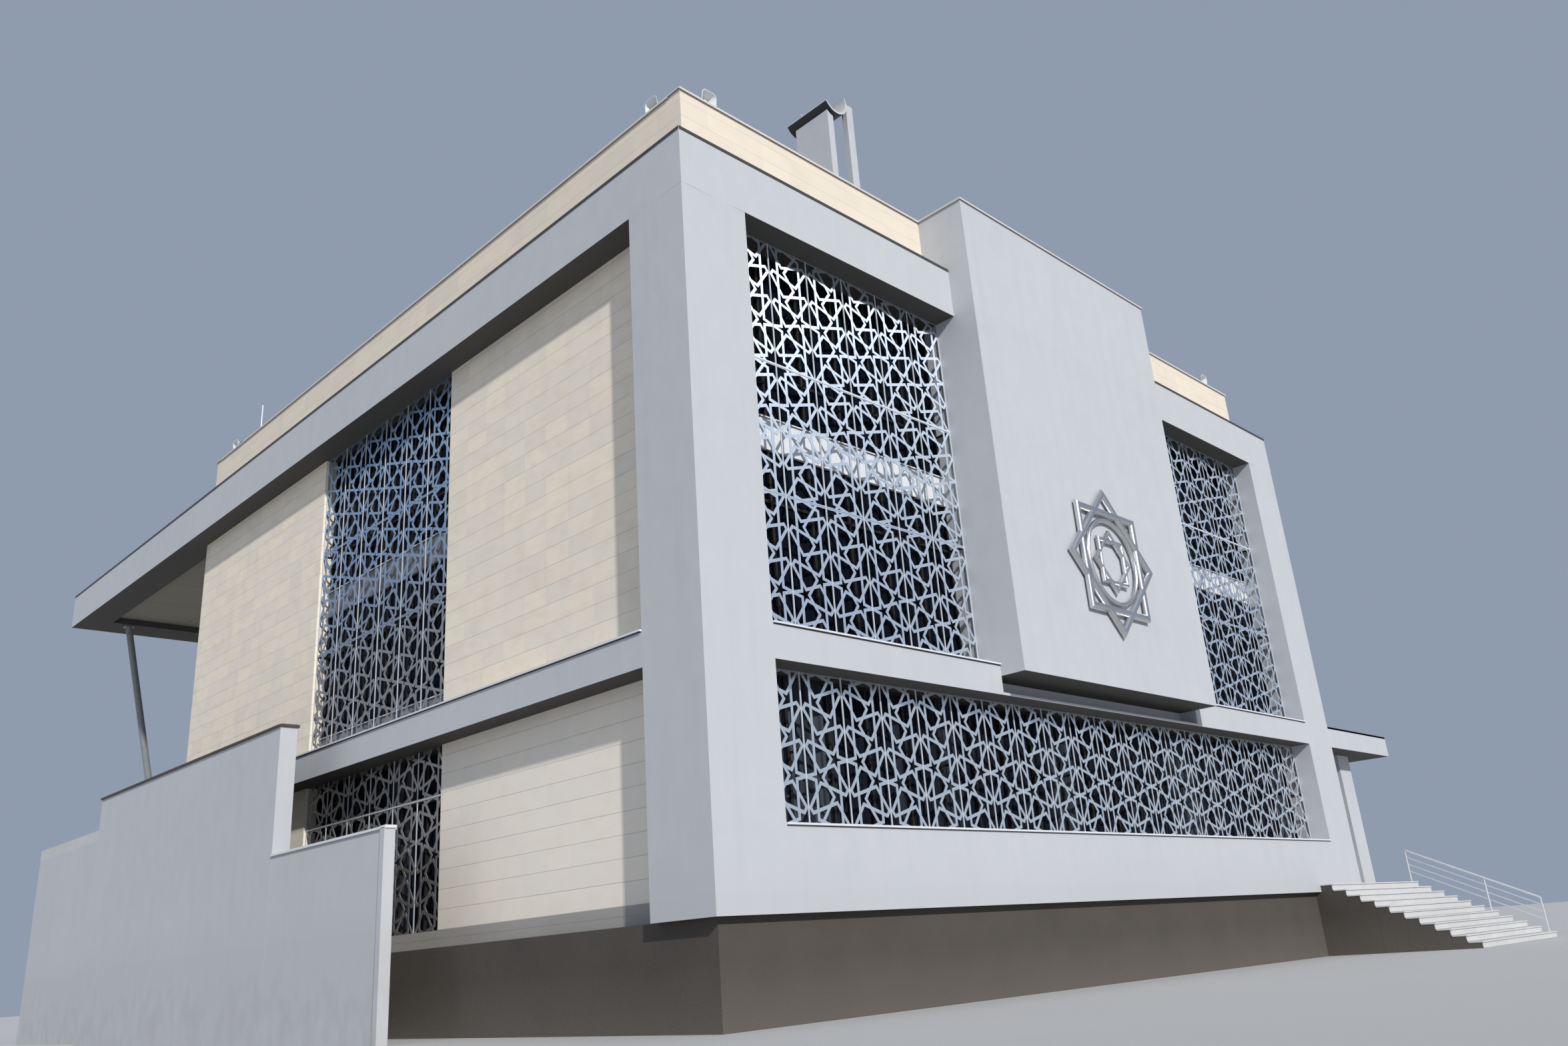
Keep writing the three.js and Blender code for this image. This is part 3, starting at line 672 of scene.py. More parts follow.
screen_low, screen_high = reach("front_screen_upper_left")
SHEET_HEIGHT = (screen_high.z - screen_low.z) / UPPER_SHEETS
UPPER_LEVELS = [screen_low.z + SHEET_HEIGHT * number for number in range(1, UPPER_SHEETS)]
opening_plan = (
    ("front_lattice_upper_left", "front_screen_upper_left", 6, (0.0, 1.0, 0.0), UPPER_LEVELS),
    ("front_lattice_upper_right", "front_screen_upper_right", 6, (0.0, 1.0, 0.0), UPPER_LEVELS),
    ("front_lattice_lower", "front_screen_lower", 20, (0.0, 1.0, 0.0), []),
    ("left_lattice_upper", "left_screen_upper", 6, (1.0, 0.0, 0.0), UPPER_LEVELS),
    ("left_lattice_lower", "left_screen_lower", 6, (1.0, 0.0, 0.0), [SIDE_LOWER_SEAM]),
    ("right_lattice_upper", "right_screen_upper", 6, (-1.0, 0.0, 0.0), UPPER_LEVELS),
    ("right_lattice_lower", "right_screen_lower", 6, (-1.0, 0.0, 0.0), [SIDE_LOWER_SEAM]),
)
OPENINGS = []
for name, screen, bays, inward, seams in opening_plan:
    beam = {0: "front_top_beam_left", 1: "left_top_beam", -1: "right_top_beam"}[int(inward[0])]
    OPENINGS.append(Opening(name, screen, bays, inward_face(inward, beam), inward, seams))


def add_member(shape, opening, across, depth, levels, edge=0.004):
    """A block in an opening, between two distances across it, two depths and two levels."""
    first = opening.at(across[0], depth[0], levels[0])
    second = opening.at(across[1], depth[1], levels[1])
    low = [min(pair) for pair in zip(first, second)]
    high = [max(pair) for pair in zip(first, second)]
    add_block(shape, low, high, edge)


shape = bmesh.new()
for opening in OPENINGS:
    depth = (GLASS_DEPTH - FRAME_BAR_DEPTH + GLASS_REBATE, GLASS_DEPTH + GLASS_BED)
    inner = FRAME_BAR / 2
    for number in range(opening.bays + 1):
        middle = min(max(number * opening.pitch, inner), opening.width - inner)
        add_member(shape, opening, (middle - inner, middle + inner), depth, (opening.bottom, opening.top))
    for level in [opening.bottom + inner, *opening.seams, opening.top - inner]:
        shallow = (depth[0] + FRAME_BAR_STEP, depth[1])
        add_member(shape, opening, (0.0, opening.width), shallow, (level - inner, level + inner))
new_piece("window_frames", shape, frame_coat)


# Tie beams and spandrels across the glass at the middle of the hall's height: smooth plastered concrete
# with a pale metal sill on top. On the sides a second band closes the foot of the upper lattice as well. The
# side bands are coloured much darker than the front ones, as painted shade.
band_plaster, shader, place, facing = new_finish("band_plaster", 0.8)
patches = place.noise(0.9, 5.0)
fine = place.noise(30.0, 4.0)
patches.blend((0.66, 0.68, 0.71), (0.76, 0.78, 0.81)).into(shader, "Base Color")
(0.74 + fine * 0.14).into(shader, "Roughness")
(fine * 0.0008).relief(shader)
paint(band_plaster, "tie_beam_left", "tie_beam_right")

TIE_LEVELS = (reach("tie_beam_left")[0].z, reach("tie_beam_left")[1].z)
FOOT_BAND_LEVELS = (3.95, 4.5)
SPANDREL_FACE = 0.79
BAND_SILL_FACE = 0.765
BAND_SILL_THICKNESS = 0.03
shape = bmesh.new()
cap_shape = bmesh.new()
for opening in OPENINGS:
    if "upper" not in opening.name:
        continue
    bands = [TIE_LEVELS]
    if "front" not in opening.name:
        bands.append(FOOT_BAND_LEVELS)
        for levels in bands:
            add_member(shape, opening, (0.0, opening.width), (SPANDREL_FACE, GLASS_DEPTH), levels)
    for levels in bands:
        cap = (levels[1], levels[1] + BAND_SILL_THICKNESS)
        cap_depth = (BAND_SILL_FACE, GLASS_DEPTH - 0.002)
        add_member(cap_shape, opening, (0.0, opening.width), cap_depth, cap)

# The side bands are the band plaster coloured much darker, as painted shade.
side_band_plaster, shader, place, facing = new_finish("side_band_plaster", 0.82)
patches = place.noise(0.9, 5.0)
fine = place.noise(30.0, 4.0)
patches.blend((0.17, 0.18, 0.20), (0.24, 0.25, 0.28)).into(shader, "Base Color")
(0.74 + fine * 0.14).into(shader, "Roughness")
(fine * 0.0008).relief(shader)
new_piece("side_spandrels", shape, side_band_plaster)
new_piece("tie_beam_sills", cap_shape, white_coat)


# Star lattice screens. Each bay holds cut sheets of satin metal, 8 mm thick, whose bars make a running
# pattern of stars. Slender flat posts carry the sheets' edges, and flat brackets tie them to the windows.
GROUND_REFLECTION_TOP = 8.0
GROUND_REFLECTION_FOOT = 5.2
lattice_metal, shader, place, facing = new_finish("lattice_metal", 0.3, 0.8)
shader.inputs["Anisotropic"].default_value = 0.97
haze = place.noise(1.3, 5.0)
brushed = place.noise(40.0, 4.0, (1.0, 1.0, 0.08))
turned = facing.axis(0).maths("ABSOLUTE").band(0.4, 0.6)
# On the side sheets the lower rows are coloured grey-brown as a painted reflection of the ground.
painted_ground_reflection = turned * place.axis(2).band(GROUND_REFLECTION_TOP, GROUND_REFLECTION_FOOT)
# The metal's blue tint is a painted reflection of the sky.
satin = haze.blend((0.70, 0.80, 0.94), (0.80, 0.88, 0.99))
# The lower storey's sheets are coloured paler as a painted highlight.
lower_rows_painted_highlight = place.axis(2).band(*STOREY_CHANGE)
satin = (lower_rows_painted_highlight * 0.6).blend(satin, (0.92, 0.97, 1.0))
# Side sheets are coloured a darker blue as painted shade and painted sky reflection.
satin = turned.blend(satin, (0.34, 0.47, 0.66))
(painted_ground_reflection * 0.9).blend(satin, (0.42, 0.38, 0.335)).into(shader, "Base Color")
(0.235 + brushed * 0.10).into(shader, "Roughness")
(brushed * 0.0001).relief(shader)

BAR_WIDTH = 0.056
EDGE_STRIP = 0.028
SHEET_DEPTH = 0.008
SHEET_FACES = {"front": 0.470, "left": 0.590, "right": 0.590}
SHEET_JOINT = 0.003
LOWER_FRONT_GAP = 0.055
POST_WIDTH = 0.030
POST_DEPTH = 0.016
POST_PROUD = 0.003
BRACKET_HEIGHT = 0.045
BRACKET_HALF = 0.006
BRACKET_SHORT = 0.03
SHEET_ROWS = 4.0934
FIRST_STAR = 0.2967
HALF_TURN = 2 * (FIRST_STAR + 2.25)


def lattice_bars():
    """Middle lines of one sheet's bars: parts of the bay's width across, rows down from the sheet's top."""
    star = FIRST_STAR
    head = [(0.014, -0.063), (0.324, star + 0.351)]
    for row in range(2):
        head += [
            (0.897, star + row + 0.069), (0.958, star + row + 0.205), (0.676, star + row + 0.851),
            (0.103, star + row + 0.569), (0.042, star + row + 0.705), (0.324, star + row + 1.351),
        ]
    tail = [(1 - x, HALF_TURN - y) for x, y in reversed(head[7:])]
    strand = head + tail + [(0.986, 4.156)]
    zigzag = [(0.775, -0.06)]
    zigzag += [(0.3865 if row % 2 == 0 else 0.6135, star + 0.5 + row / 2) for row in range(6)]
    zigzag.append((0.225, 4.153))
    peak = star - 0.10
    foot = SHEET_ROWS - peak
    right_upright = [
        (0.219, 0.097), (0.40, 0.005), (0.781, peak), (0.781, star + 1.912), (1.03, star + 2.012),
    ]
    right_below = [(1.03, star + 1.988), (0.781, star + 2.088), (0.781, 4.2)]
    left_upright = [(0.219, -0.1), (0.219, star + 2.412), (-0.03, star + 2.512)]
    left_below = [
        (-0.03, star + 2.488), (0.219, star + 2.588), (0.219, foot), (0.60, 4.088), (0.781, 3.996),
    ]
    return [strand, zigzag, right_upright, right_below, left_upright, left_below]


def bar_outlines(points, width):
    """Outlines of a bar's straight stretches, mitred where they meet."""
    points = [Vector(point) for point in points]
    turns = []
    for first, second in zip(points, points[1:]):
        run = (second - first).normalized()
        turns.append(Vector((-run.y, run.x)))
    edges = []
    for number, point in enumerate(points):
        before = turns[max(number - 1, 0)]
        after = turns[min(number, len(turns) - 1)]
        mitre = (before + after) / (1.0 + before.dot(after))
        edges.append((point + mitre * width / 2, point - mitre * width / 2))
    return [[a, b, d, c] for (a, b), (c, d) in zip(edges, edges[1:])]


def trimmed(outline, axis, limit, keep_above):
    """The part of an outline on one side of a straight cut."""
    kept = []
    sign = 1.0 if keep_above else -1.0
    for number, point in enumerate(outline):
        previous = outline[number - 1]
        inside = sign * (point[axis] - limit)
        inside_before = sign * (previous[axis] - limit)
        if inside * inside_before < 0:
            kept.append(previous.lerp(point, inside_before / (inside_before - inside)))
        if inside >= 0:
            kept.append(point)
    return kept


def cut_sheet(pitch, height, top, bottom):
    """Flat mesh of one sheet between two heights below its own top: its corners, triangles and rim."""
    row = height / SHEET_ROWS
    gap = SHEET_JOINT
    outlines = []
    for bar in lattice_bars():
        outlines += bar_outlines([(x * pitch, y * row) for x, y in bar], BAR_WIDTH)
    for level in (0.0, height - EDGE_STRIP):
        corners = [(0.0, level), (pitch, level), (pitch, level + EDGE_STRIP), (0.0, level + EDGE_STRIP)]
        outlines.append([Vector(corner) for corner in corners])
    points = []
    faces = []
    cuts = ((0, gap, True), (0, pitch - gap, False), (1, top + gap, True), (1, bottom - gap, False))
    for outline in outlines:
        for axis, limit, keep_above in cuts:
            outline = trimmed(outline, axis, limit, keep_above)
        if len(outline) < 3:
            continue
        faces.append(list(range(len(points), len(points) + len(outline))))
        points += outline
    corners, _, triangles, _, _, sources = delaunay_2d_cdt(points, [], faces, 0, 1e-5, True)
    filled = [triangle for triangle, source in zip(triangles, sources) if source]
    sides = {(a, b) for face in filled for a, b in zip(face, face[1:] + face[:1])}
    rim = [(a, b) for a, b in sides if (b, a) not in sides]
    return corners, filled, rim


def add_sheet(shape, opening, sheet, bay, level, depth, mirrored, upended, height):
    """Stand one cut sheet in its bay. Its own top, or its foot where it is upended, is at the level."""
    corners, triangles, rim = sheet
    layers = []
    for back in (0.0, SHEET_DEPTH):
        layer = []
        for x, y in corners:
            across = (bay + 1) * opening.pitch - x if mirrored else bay * opening.pitch + x
            drop = height - y if upended else y
            layer.append(shape.verts.new(opening.at(across, depth + back, level - drop)))
        layers.append(layer)
    front, rear = layers
    turned = mirrored != upended
    for a, b, c in triangles:
        near = (front[a], front[b], front[c])
        far = (rear[a], rear[c], rear[b])
        shape.faces.new(near if turned else near[::-1])
        shape.faces.new(far if turned else far[::-1])
    for a, b in rim:
        side = (front[a], rear[a], rear[b], front[b])
        shape.faces.new(side if turned else side[::-1])


def add_rod(shape, foot, head, radius, sides=12, end_radius=None):
    """A round bar between two points, with slightly rounded ends."""
    foot, head = Vector(foot), Vector(head)
    run = head - foot
    turn = run.to_track_quat("Z", "Y")
    end_radius = radius if end_radius is None else end_radius
    ease = min(radius, end_radius) * 0.15
    rings = []
    stations = (
        (0.0, radius - ease), (ease, radius), (run.length - ease, end_radius),
        (run.length, end_radius - ease),
    )
    for distance, ring_radius in stations:
        ring = []
        for number in range(sides):
            angle = 2 * math.pi * number / sides
            spot = Vector((ring_radius * math.cos(angle), ring_radius * math.sin(angle), distance))
            ring.append(shape.verts.new(foot + turn @ spot))
        rings.append(ring)
    for near, far in zip(rings, rings[1:]):
        for number in range(sides):
            beyond = (number + 1) % sides
            shape.faces.new((near[number], near[beyond], far[beyond], far[number]))
    shape.faces.new(rings[0][::-1])
    shape.faces.new(rings[-1])


def sheet_plan(opening):
    """Sheets of one bay from the top: their level, height, upended or not, and the part that is used."""
    full = SHEET_HEIGHT
    if opening.name == "front_lattice_lower":
        height = opening.top - opening.bottom - LOWER_FRONT_GAP
        return [(opening.top, height, False, 0.0, height)]
    if "upper" in opening.name:
        return [
            (opening.top - full * number, full, number == 1, 0.0, full) for number in range(UPPER_SHEETS)
        ]
    shown = opening.top - SIDE_LOWER_SEAM
    below = SIDE_LOWER_SEAM - opening.bottom
    return [
        (opening.top + full - shown, full, False, full - shown, full),
        (SIDE_LOWER_SEAM, full, True, full - below if below < full else 0.0, full),
    ]


SEAM_STRIP = 0.026
SEAM_STRIP_THICKNESS = 0.004
SEAM_STRIP_TURN = 0.0012


def add_seam_strip(shape, opening, level, depth):
    """A flat strip over a seam of the sheets. It is turned up a little, so that its foot stands out more."""
    half = SEAM_STRIP / 2
    face = depth - SEAM_STRIP_THICKNESS
    section = [(depth, half), (face, half), (face - SEAM_STRIP_TURN, -half), (depth, -half)]
    near = [shape.verts.new(opening.at(0.0, inward, level + up)) for inward, up in section]
    far = [shape.verts.new(opening.at(opening.width, inward, level + up)) for inward, up in section]
    for corner in range(4):
        beyond = (corner + 1) % 4
        shape.faces.new((near[corner], near[beyond], far[beyond], far[corner]))
    shape.faces.new(near[::-1])
    shape.faces.new(far)


for opening in OPENINGS:
    shape = bmesh.new()
    depth = SHEET_FACES[opening.name.split("_")[0]]
    for level, height, upended, top, bottom in sheet_plan(opening):
        sheet = cut_sheet(opening.pitch, height, top, bottom)
        for bay in range(opening.bays):
            add_sheet(shape, opening, sheet, bay, level, depth, bay % 2 == 0, upended, height)
    new_piece(opening.name, shape, lattice_metal, [opening.screen])

shape = bmesh.new()
bracket_shape = bmesh.new()
for opening in OPENINGS:
    face = SHEET_FACES[opening.name.split("_")[0]]
    post_depth = (face - POST_PROUD, face - POST_PROUD + POST_DEPTH)
    half = POST_WIDTH / 2
    for number in range(opening.bays + 1):
        across = min(max(number * opening.pitch, half), opening.width - half)
        add_member(
            shape, opening, (across - half, across + half), post_depth,
            (opening.bottom, opening.top), 0.002,
        )
        tied = opening.seams or [(opening.bottom + opening.top) / 2]
        for level in tied:
            add_member(
                bracket_shape, opening, (across - BRACKET_HALF, across + BRACKET_HALF),
                (post_depth[1], GLASS_DEPTH - BRACKET_SHORT),
                (level - BRACKET_HEIGHT / 2, level + BRACKET_HEIGHT / 2), 0.002,
            )
post_metal, shader, place, facing = new_finish("post_metal", 0.5, 0.25)
haze = place.noise(2.2, 5.0)
haze.blend((0.52, 0.56, 0.62), (0.60, 0.64, 0.70)).into(shader, "Base Color")
(0.42 + haze * 0.15).into(shader, "Roughness")
(place.noise(70.0, 3.0) * 0.0001).relief(shader)
new_piece("lattice_posts", shape, post_metal)
new_piece("lattice_brackets", bracket_shape, frame_coat)

shape = bmesh.new()
for opening in OPENINGS:
    on_front = opening.name.startswith("front")
    if opening.seams and on_front == ("upper" in opening.name):
        face = SHEET_FACES[opening.name.split("_")[0]]
        add_seam_strip(shape, opening, opening.seams[-1], face - POST_PROUD)
new_piece("lattice_seam_strips", shape, white_coat)


# Mihrab block: a plain plastered box with a thin metal coping. On its face an eight-pointed star medallion
# of half-round polished steel bars is fixed on studs a little off the wall.
BLOCK_CAP_BACK = 0.9
BLOCK_CAP_OVERHANG = 0.03
BLOCK_CAP_WIDTH = 0.42
BLOCK_CAP_THICKNESS = 0.028
block_low, block_high = reach("mihrab_block")
shape = bmesh.new()
block_path = [
    (block_low.x, BLOCK_CAP_BACK, block_high.z), (block_low.x, block_low.y, block_high.z),
    (block_high.x, block_low.y, block_high.z), (block_high.x, BLOCK_CAP_BACK, block_high.z),
]
cap = cap_section(BLOCK_CAP_OVERHANG, BLOCK_CAP_WIDTH, BLOCK_CAP_THICKNESS)
cap = [(-across, out) for across, out in cap]
add_sweep(shape, block_path, cap[::-1], (0.0, 0.0, 1.0))
new_piece("block_coping", shape, coping_metal)

steel, shader, place, facing = new_finish("polished_steel", 0.3, 1.0)
brushed = place.noise(60.0, 4.0, (1.0, 1.0, 0.1))
handling = place.noise(2.0, 4.0)
handling.blend((0.60, 0.61, 0.62), (0.72, 0.72, 0.72)).into(shader, "Base Color")
(0.24 + brushed * 0.14 + handling * 0.05).into(shader, "Roughness")
(brushed * 0.00008).relief(shader)

MEDALLION_LEVEL = 6.5
MEDALLION_RADIUS = 1.55
INNER_STAR_RADIUS = MEDALLION_RADIUS * 0.42
RING_RADIUS = MEDALLION_RADIUS * 0.60
OUTER_STUDS_RADIUS = MEDALLION_RADIUS * 0.97
STUD_RADIUS = 0.018
STUD_SUNK = 0.01
MEDALLION_STUD = 0.05
STAR_BAR_WIDTH = 0.17
STAR_BAR_RISE = 0.09
FINE_BAR_WIDTH = STAR_BAR_WIDTH * 0.6
FINE_BAR_RISE = 0.07
block_middle = (block_low.x + block_high.x) / 2
medallion_centre = Vector((block_middle, block_low.y - MEDALLION_STUD, MEDALLION_LEVEL))


def half_round(width, rise, steps=10):
    """Section of a half-round bar that lies flat on its path."""
    section = []
    for number in range(steps + 1):
        angle = math.pi * number / steps
        section.append((-width / 2 * math.cos(angle), rise * math.sin(angle)))
    return section


def face_point(radius, turn):
    """A point of the medallion from its middle, with zero turn straight up."""
    angle = math.radians(turn)
    return medallion_centre + Vector((radius * math.sin(angle), 0.0, radius * math.cos(angle)))


shape = bmesh.new()
outward = (0.0, -1.0, 0.0)
star_bar = half_round(STAR_BAR_WIDTH, STAR_BAR_RISE)
fine_bar = half_round(FINE_BAR_WIDTH, FINE_BAR_RISE)
for radius, bar in ((MEDALLION_RADIUS, star_bar), (INNER_STAR_RADIUS, fine_bar)):
    for turn in (0.0, 45.0):
        corners = [face_point(radius, turn + 90.0 * number) for number in range(4)]
        add_sweep(shape, corners, bar, outward, closed=True)
ring = [face_point(RING_RADIUS, 5.0 * number) for number in range(72)]
add_sweep(shape, ring, fine_bar, outward, closed=True)
stud_run = Vector((0.0, MEDALLION_STUD + STUD_SUNK, 0.0))
for number in range(8):
    turn = 45.0 * number
    for radius in (OUTER_STUDS_RADIUS, RING_RADIUS):
        stud = face_point(radius, turn)
        add_rod(shape, stud + stud_run, stud, STUD_RADIUS)
new_piece("star_medallion", shape, steel)


# Entrance at the back: the canopy's beige soffit boards between the beams, two leaning steel columns with
# foot and head plates bolted down, and the metal lining of the wide doorway. Under the terrace, a short
# plastered return closes each terrace wall against the stone wall before it.
soffit_board, shader, place, facing = new_finish("soffit_board", 0.75)
patches = place.noise(0.6, 5.0)
fine = place.noise(20.0, 4.0)
patches.blend((0.225, 0.20, 0.15), (0.28, 0.25, 0.195)).into(shader, "Base Color")
(0.68 + fine * 0.14).into(shader, "Roughness")
(fine * 0.0005).relief(shader)

BOARD_LENGTH = 2.3
BOARD_DROP = 0.04
BOARD_BED = 0.01
BOARD_JOINT = 0.005
slab_low, slab_high = reach("canopy_slab")
shape = bmesh.new()
columns_of_boards = round((slab_high.x - slab_low.x) / BOARD_LENGTH)
rows_of_boards = round((slab_high.y - slab_low.y) / BOARD_LENGTH)
board_x = (slab_high.x - slab_low.x) / columns_of_boards
board_y = (slab_high.y - slab_low.y) / rows_of_boards
for column in range(columns_of_boards):
    for board_row in range(rows_of_boards):
        low_x = slab_low.x + column * board_x + BOARD_JOINT
        low_y = slab_low.y + board_row * board_y + BOARD_JOINT
        high_x = slab_low.x + (column + 1) * board_x - BOARD_JOINT
        high_y = slab_low.y + (board_row + 1) * board_y - BOARD_JOINT
        add_block(
            shape, (low_x, low_y, slab_low.z - BOARD_DROP), (high_x, high_y, slab_low.z + BOARD_BED), 0.003
        )
new_piece("canopy_soffit_boards", shape, soffit_board)

# A thin dark sheet lines the inner faces of the beams round the canopy recess, as painted shade.
RECESS_SHADE_FACE = 0.012
RECESS_SHADE_FOOT = 0.002
beam_bottom = reach("left_top_beam")[0].z
recess_path = [
    (slab_low.x, slab_low.y, beam_bottom), (slab_high.x, slab_low.y, beam_bottom),
    (slab_high.x, slab_high.y, beam_bottom), (slab_low.x, slab_high.y, beam_bottom),
]
recess_section = [
    (0.001, RECESS_SHADE_FOOT), (RECESS_SHADE_FACE, RECESS_SHADE_FOOT), (RECESS_SHADE_FACE, slab_low.z - beam_bottom),
    (0.001, slab_low.z - beam_bottom),
]
shape = bmesh.new()
add_sweep(shape, recess_path, recess_section, (0.0, 0.0, 1.0), closed=True)
new_piece("canopy_recess_lining", shape, dark_trim)

column_paint, shader, place, facing = new_finish("column_paint", 0.3, 0.1)
wear = place.noise(8.0, 5.0)
orange_peel = place.noise(140.0, 2.0)
wear.blend((0.19, 0.215, 0.22), (0.26, 0.285, 0.29)).into(shader, "Base Color")
(0.22 + wear * 0.16).into(shader, "Roughness")
(orange_peel * 0.0002).relief(shader)

COLUMN_RADIUS = 0.11
COLUMN_EASE = 0.002
COLUMN_SIDES = 36
FOOT_PLATE_HALF = 0.24
HEAD_PLATE_HALF = 0.15
PLATE_THICKNESS = 0.03
BOLT_RADIUS = 0.018
BOLT_RISE = 0.03
BOLT_FROM_MIDDLE = 0.18
for side, leans_right in (("left", False), ("right", True)):
    node = "canopy_column_" + side
    low, high = reach(node)
    middle_y = (low.y + high.y) / 2
    near, far = low.x + COLUMN_RADIUS, high.x - COLUMN_RADIUS
    foot_x, head_x = (near, far) if leans_right else (far, near)
    shape = bmesh.new()
    foot, head = (foot_x, middle_y, low.z), (head_x, middle_y, high.z)
    add_rod(shape, foot, head, COLUMN_RADIUS - COLUMN_EASE, COLUMN_SIDES)
    plates = (
        (foot_x, FOOT_PLATE_HALF, low.z, low.z + PLATE_THICKNESS),
        (head_x, HEAD_PLATE_HALF, high.z - PLATE_THICKNESS, high.z),
    )
    for spot_x, half, bottom, top in plates:
        add_block(shape, (spot_x - half, middle_y - half, bottom), (spot_x + half, middle_y + half, top))
    for x_sign in (-1, 1):
        for y_sign in (-1, 1):
            bolt_x = foot_x + x_sign * BOLT_FROM_MIDDLE
            bolt_y = middle_y + y_sign * BOLT_FROM_MIDDLE
            bolt = Vector((bolt_x, bolt_y, low.z))
            add_rod(shape, bolt, bolt + Vector((0.0, 0.0, PLATE_THICKNESS + BOLT_RISE)), BOLT_RADIUS, 6)
    new_piece("leaning_column_" + side, shape, column_paint, [node])

DOOR_LEFT = 9.65
DOOR_WIDTH = 3.2
DOOR_HEIGHT = 3.2
LINING = 0.05
LINING_INSIDE = 0.02
LINING_OUTSIDE = 0.03
wall_low, wall_high = reach("back_wall")
floor_level = reach("terrace_slab")[1].z
shape = bmesh.new()
reveal = (wall_low.y - LINING_INSIDE, wall_high.y + LINING_OUTSIDE)
for low_x in (DOOR_LEFT, DOOR_LEFT + DOOR_WIDTH - LINING):
    add_block(
        shape, (low_x, reveal[0], floor_level),
        (low_x + LINING, reveal[1], floor_level + DOOR_HEIGHT),
    )
add_block(
    shape, (DOOR_LEFT + LINING, reveal[0], floor_level + DOOR_HEIGHT - LINING),
    (DOOR_LEFT + DOOR_WIDTH - LINING, reveal[1], floor_level + DOOR_HEIGHT),
)
new_piece("doorway_lining", shape, column_paint)

RETURN_THICKNESS = 0.15
RETURN_LAP = 0.08
RETURN_JOINT = 0.001
shape = bmesh.new()
for side in ("left", "right"):
    retaining_low, retaining_high = reach("terrace_wall_" + side)
    stone_low, stone_high = reach(side + "_stone_wall_rear")
    ends = (retaining_high.x + RETURN_JOINT, stone_low.x + RETURN_LAP)
    if side == "right":
        ends = (stone_high.x - RETURN_LAP, retaining_low.x - RETURN_JOINT)
    add_block(
        shape, (ends[0], retaining_low.y + RETURN_JOINT, retaining_low.z),
        (ends[1], retaining_low.y + RETURN_THICKNESS, retaining_high.z - RETURN_JOINT),
    )
new_piece("terrace_wall_returns", shape, plaster)


# Terrace, landing and steps, all faced with white stone slabs. The terrace is a grid of slabs with tight
# joints. Landing and steps lie on a cast body, and each tread's nosing stands a little over its riser.
TERRACE_SLAB = 0.9
white_stone, shader, place, facing = new_finish("white_stone", 0.6)
across = (place.axis(0) / TERRACE_SLAB).maths("FRACT").maths("PINGPONG", 0.5)
deep = (place.axis(1) / TERRACE_SLAB).maths("FRACT").maths("PINGPONG", 0.5)
level_face = facing.axis(2).band(0.6, 0.9)
joints = across.maths("MINIMUM", deep).band(0.006, 0.002) * level_face
slab_number = place.node(
    "CombineXYZ", {},
    {0: (place.axis(0) / TERRACE_SLAB).maths("FLOOR"), 1: (place.axis(1) / TERRACE_SLAB).maths("FLOOR")},
)
tone = place.node("TexWhiteNoise", {"noise_dimensions": "3D"}, {"Vector": slab_number})
veins = place.noise(3.1, 7.0)
footfall = place.noise(0.7, 4.0).band(0.35, 0.7) * level_face
colour = (veins * 0.6 + tone * 0.4).blend((0.52, 0.525, 0.53), (0.63, 0.632, 0.635))
colour = (footfall * 0.3).blend(colour, (0.48, 0.45, 0.40))
(joints * 0.8).blend(colour, (0.25, 0.23, 0.21)).into(shader, "Base Color")
(0.5 + veins * 0.2).into(shader, "Roughness")
(veins * 0.0006 - joints * 0.003).relief(shader)
paint(white_stone, "terrace_slab")

steps_low, steps_high = reach("steps_and_landing")
RISER_COUNT = 11
RISE = (steps_high.z - steps_low.z) / RISER_COUNT
GOING = 0.305
LANDING_NOSE = -0.313
TREAD_SLAB = 0.03
NOSING = 0.022
RISER_SLAB = 0.02
SLAB_LENGTH = 1.184
SLAB_GAP = 0.0015
SLAB_BED = 0.001
RISER_INSET = 0.01
BODY_INSET = 0.015
LANDING_ROWS = 3
canopy_edge = reach("side_canopy")[0].x


def add_slab_row(shape, low, high):
    """A row of stone slabs along X with thin joints."""
    count = max(1, round((high[0] - low[0]) / SLAB_LENGTH))
    pitch = (high[0] - low[0]) / count
    for number in range(count):
        first = low[0] + number * pitch
        last = first + pitch - SLAB_GAP
        add_block(shape, (first + SLAB_GAP, low[1], low[2]), (last, high[1], high[2]), 0.006)


shape = bmesh.new()
body_shape = bmesh.new()
for tread in range(RISER_COUNT):
    nose = LANDING_NOSE - GOING * tread
    top = steps_high.z - RISE * tread
    back = nose + GOING + NOSING if tread else 0.0
    under = top - TREAD_SLAB - SLAB_BED
    add_slab_row(shape, (steps_low.x, nose, top - TREAD_SLAB), (steps_high.x, back, top))
    riser = (steps_low.x + RISER_INSET, nose + NOSING, top - RISE + 2 * SLAB_BED)
    add_slab_row(shape, riser, (steps_high.x - RISER_INSET, nose + NOSING + RISER_SLAB, under))
    front = nose + NOSING + RISER_SLAB + SLAB_BED
    body_back = back + RISER_SLAB if tread else 0.0
    add_block(
        body_shape, (steps_low.x + BODY_INSET, front, steps_low.z),
        (steps_high.x - BODY_INSET, body_back, under), 0.003,
    )
landing_pitch = steps_high.y / LANDING_ROWS
for number in range(LANDING_ROWS):
    low = (canopy_edge, number * landing_pitch + SLAB_GAP, steps_high.z - TREAD_SLAB)
    add_slab_row(shape, low, (steps_high.x, (number + 1) * landing_pitch - SLAB_GAP, steps_high.z))
add_block(
    body_shape, (canopy_edge, SLAB_BED, steps_low.z),
    (steps_high.x - BODY_INSET, steps_high.y - 0.004, steps_high.z - TREAD_SLAB - SLAB_BED), 0.003,
)
plinth_low = reach("foundation_plinth")[0]
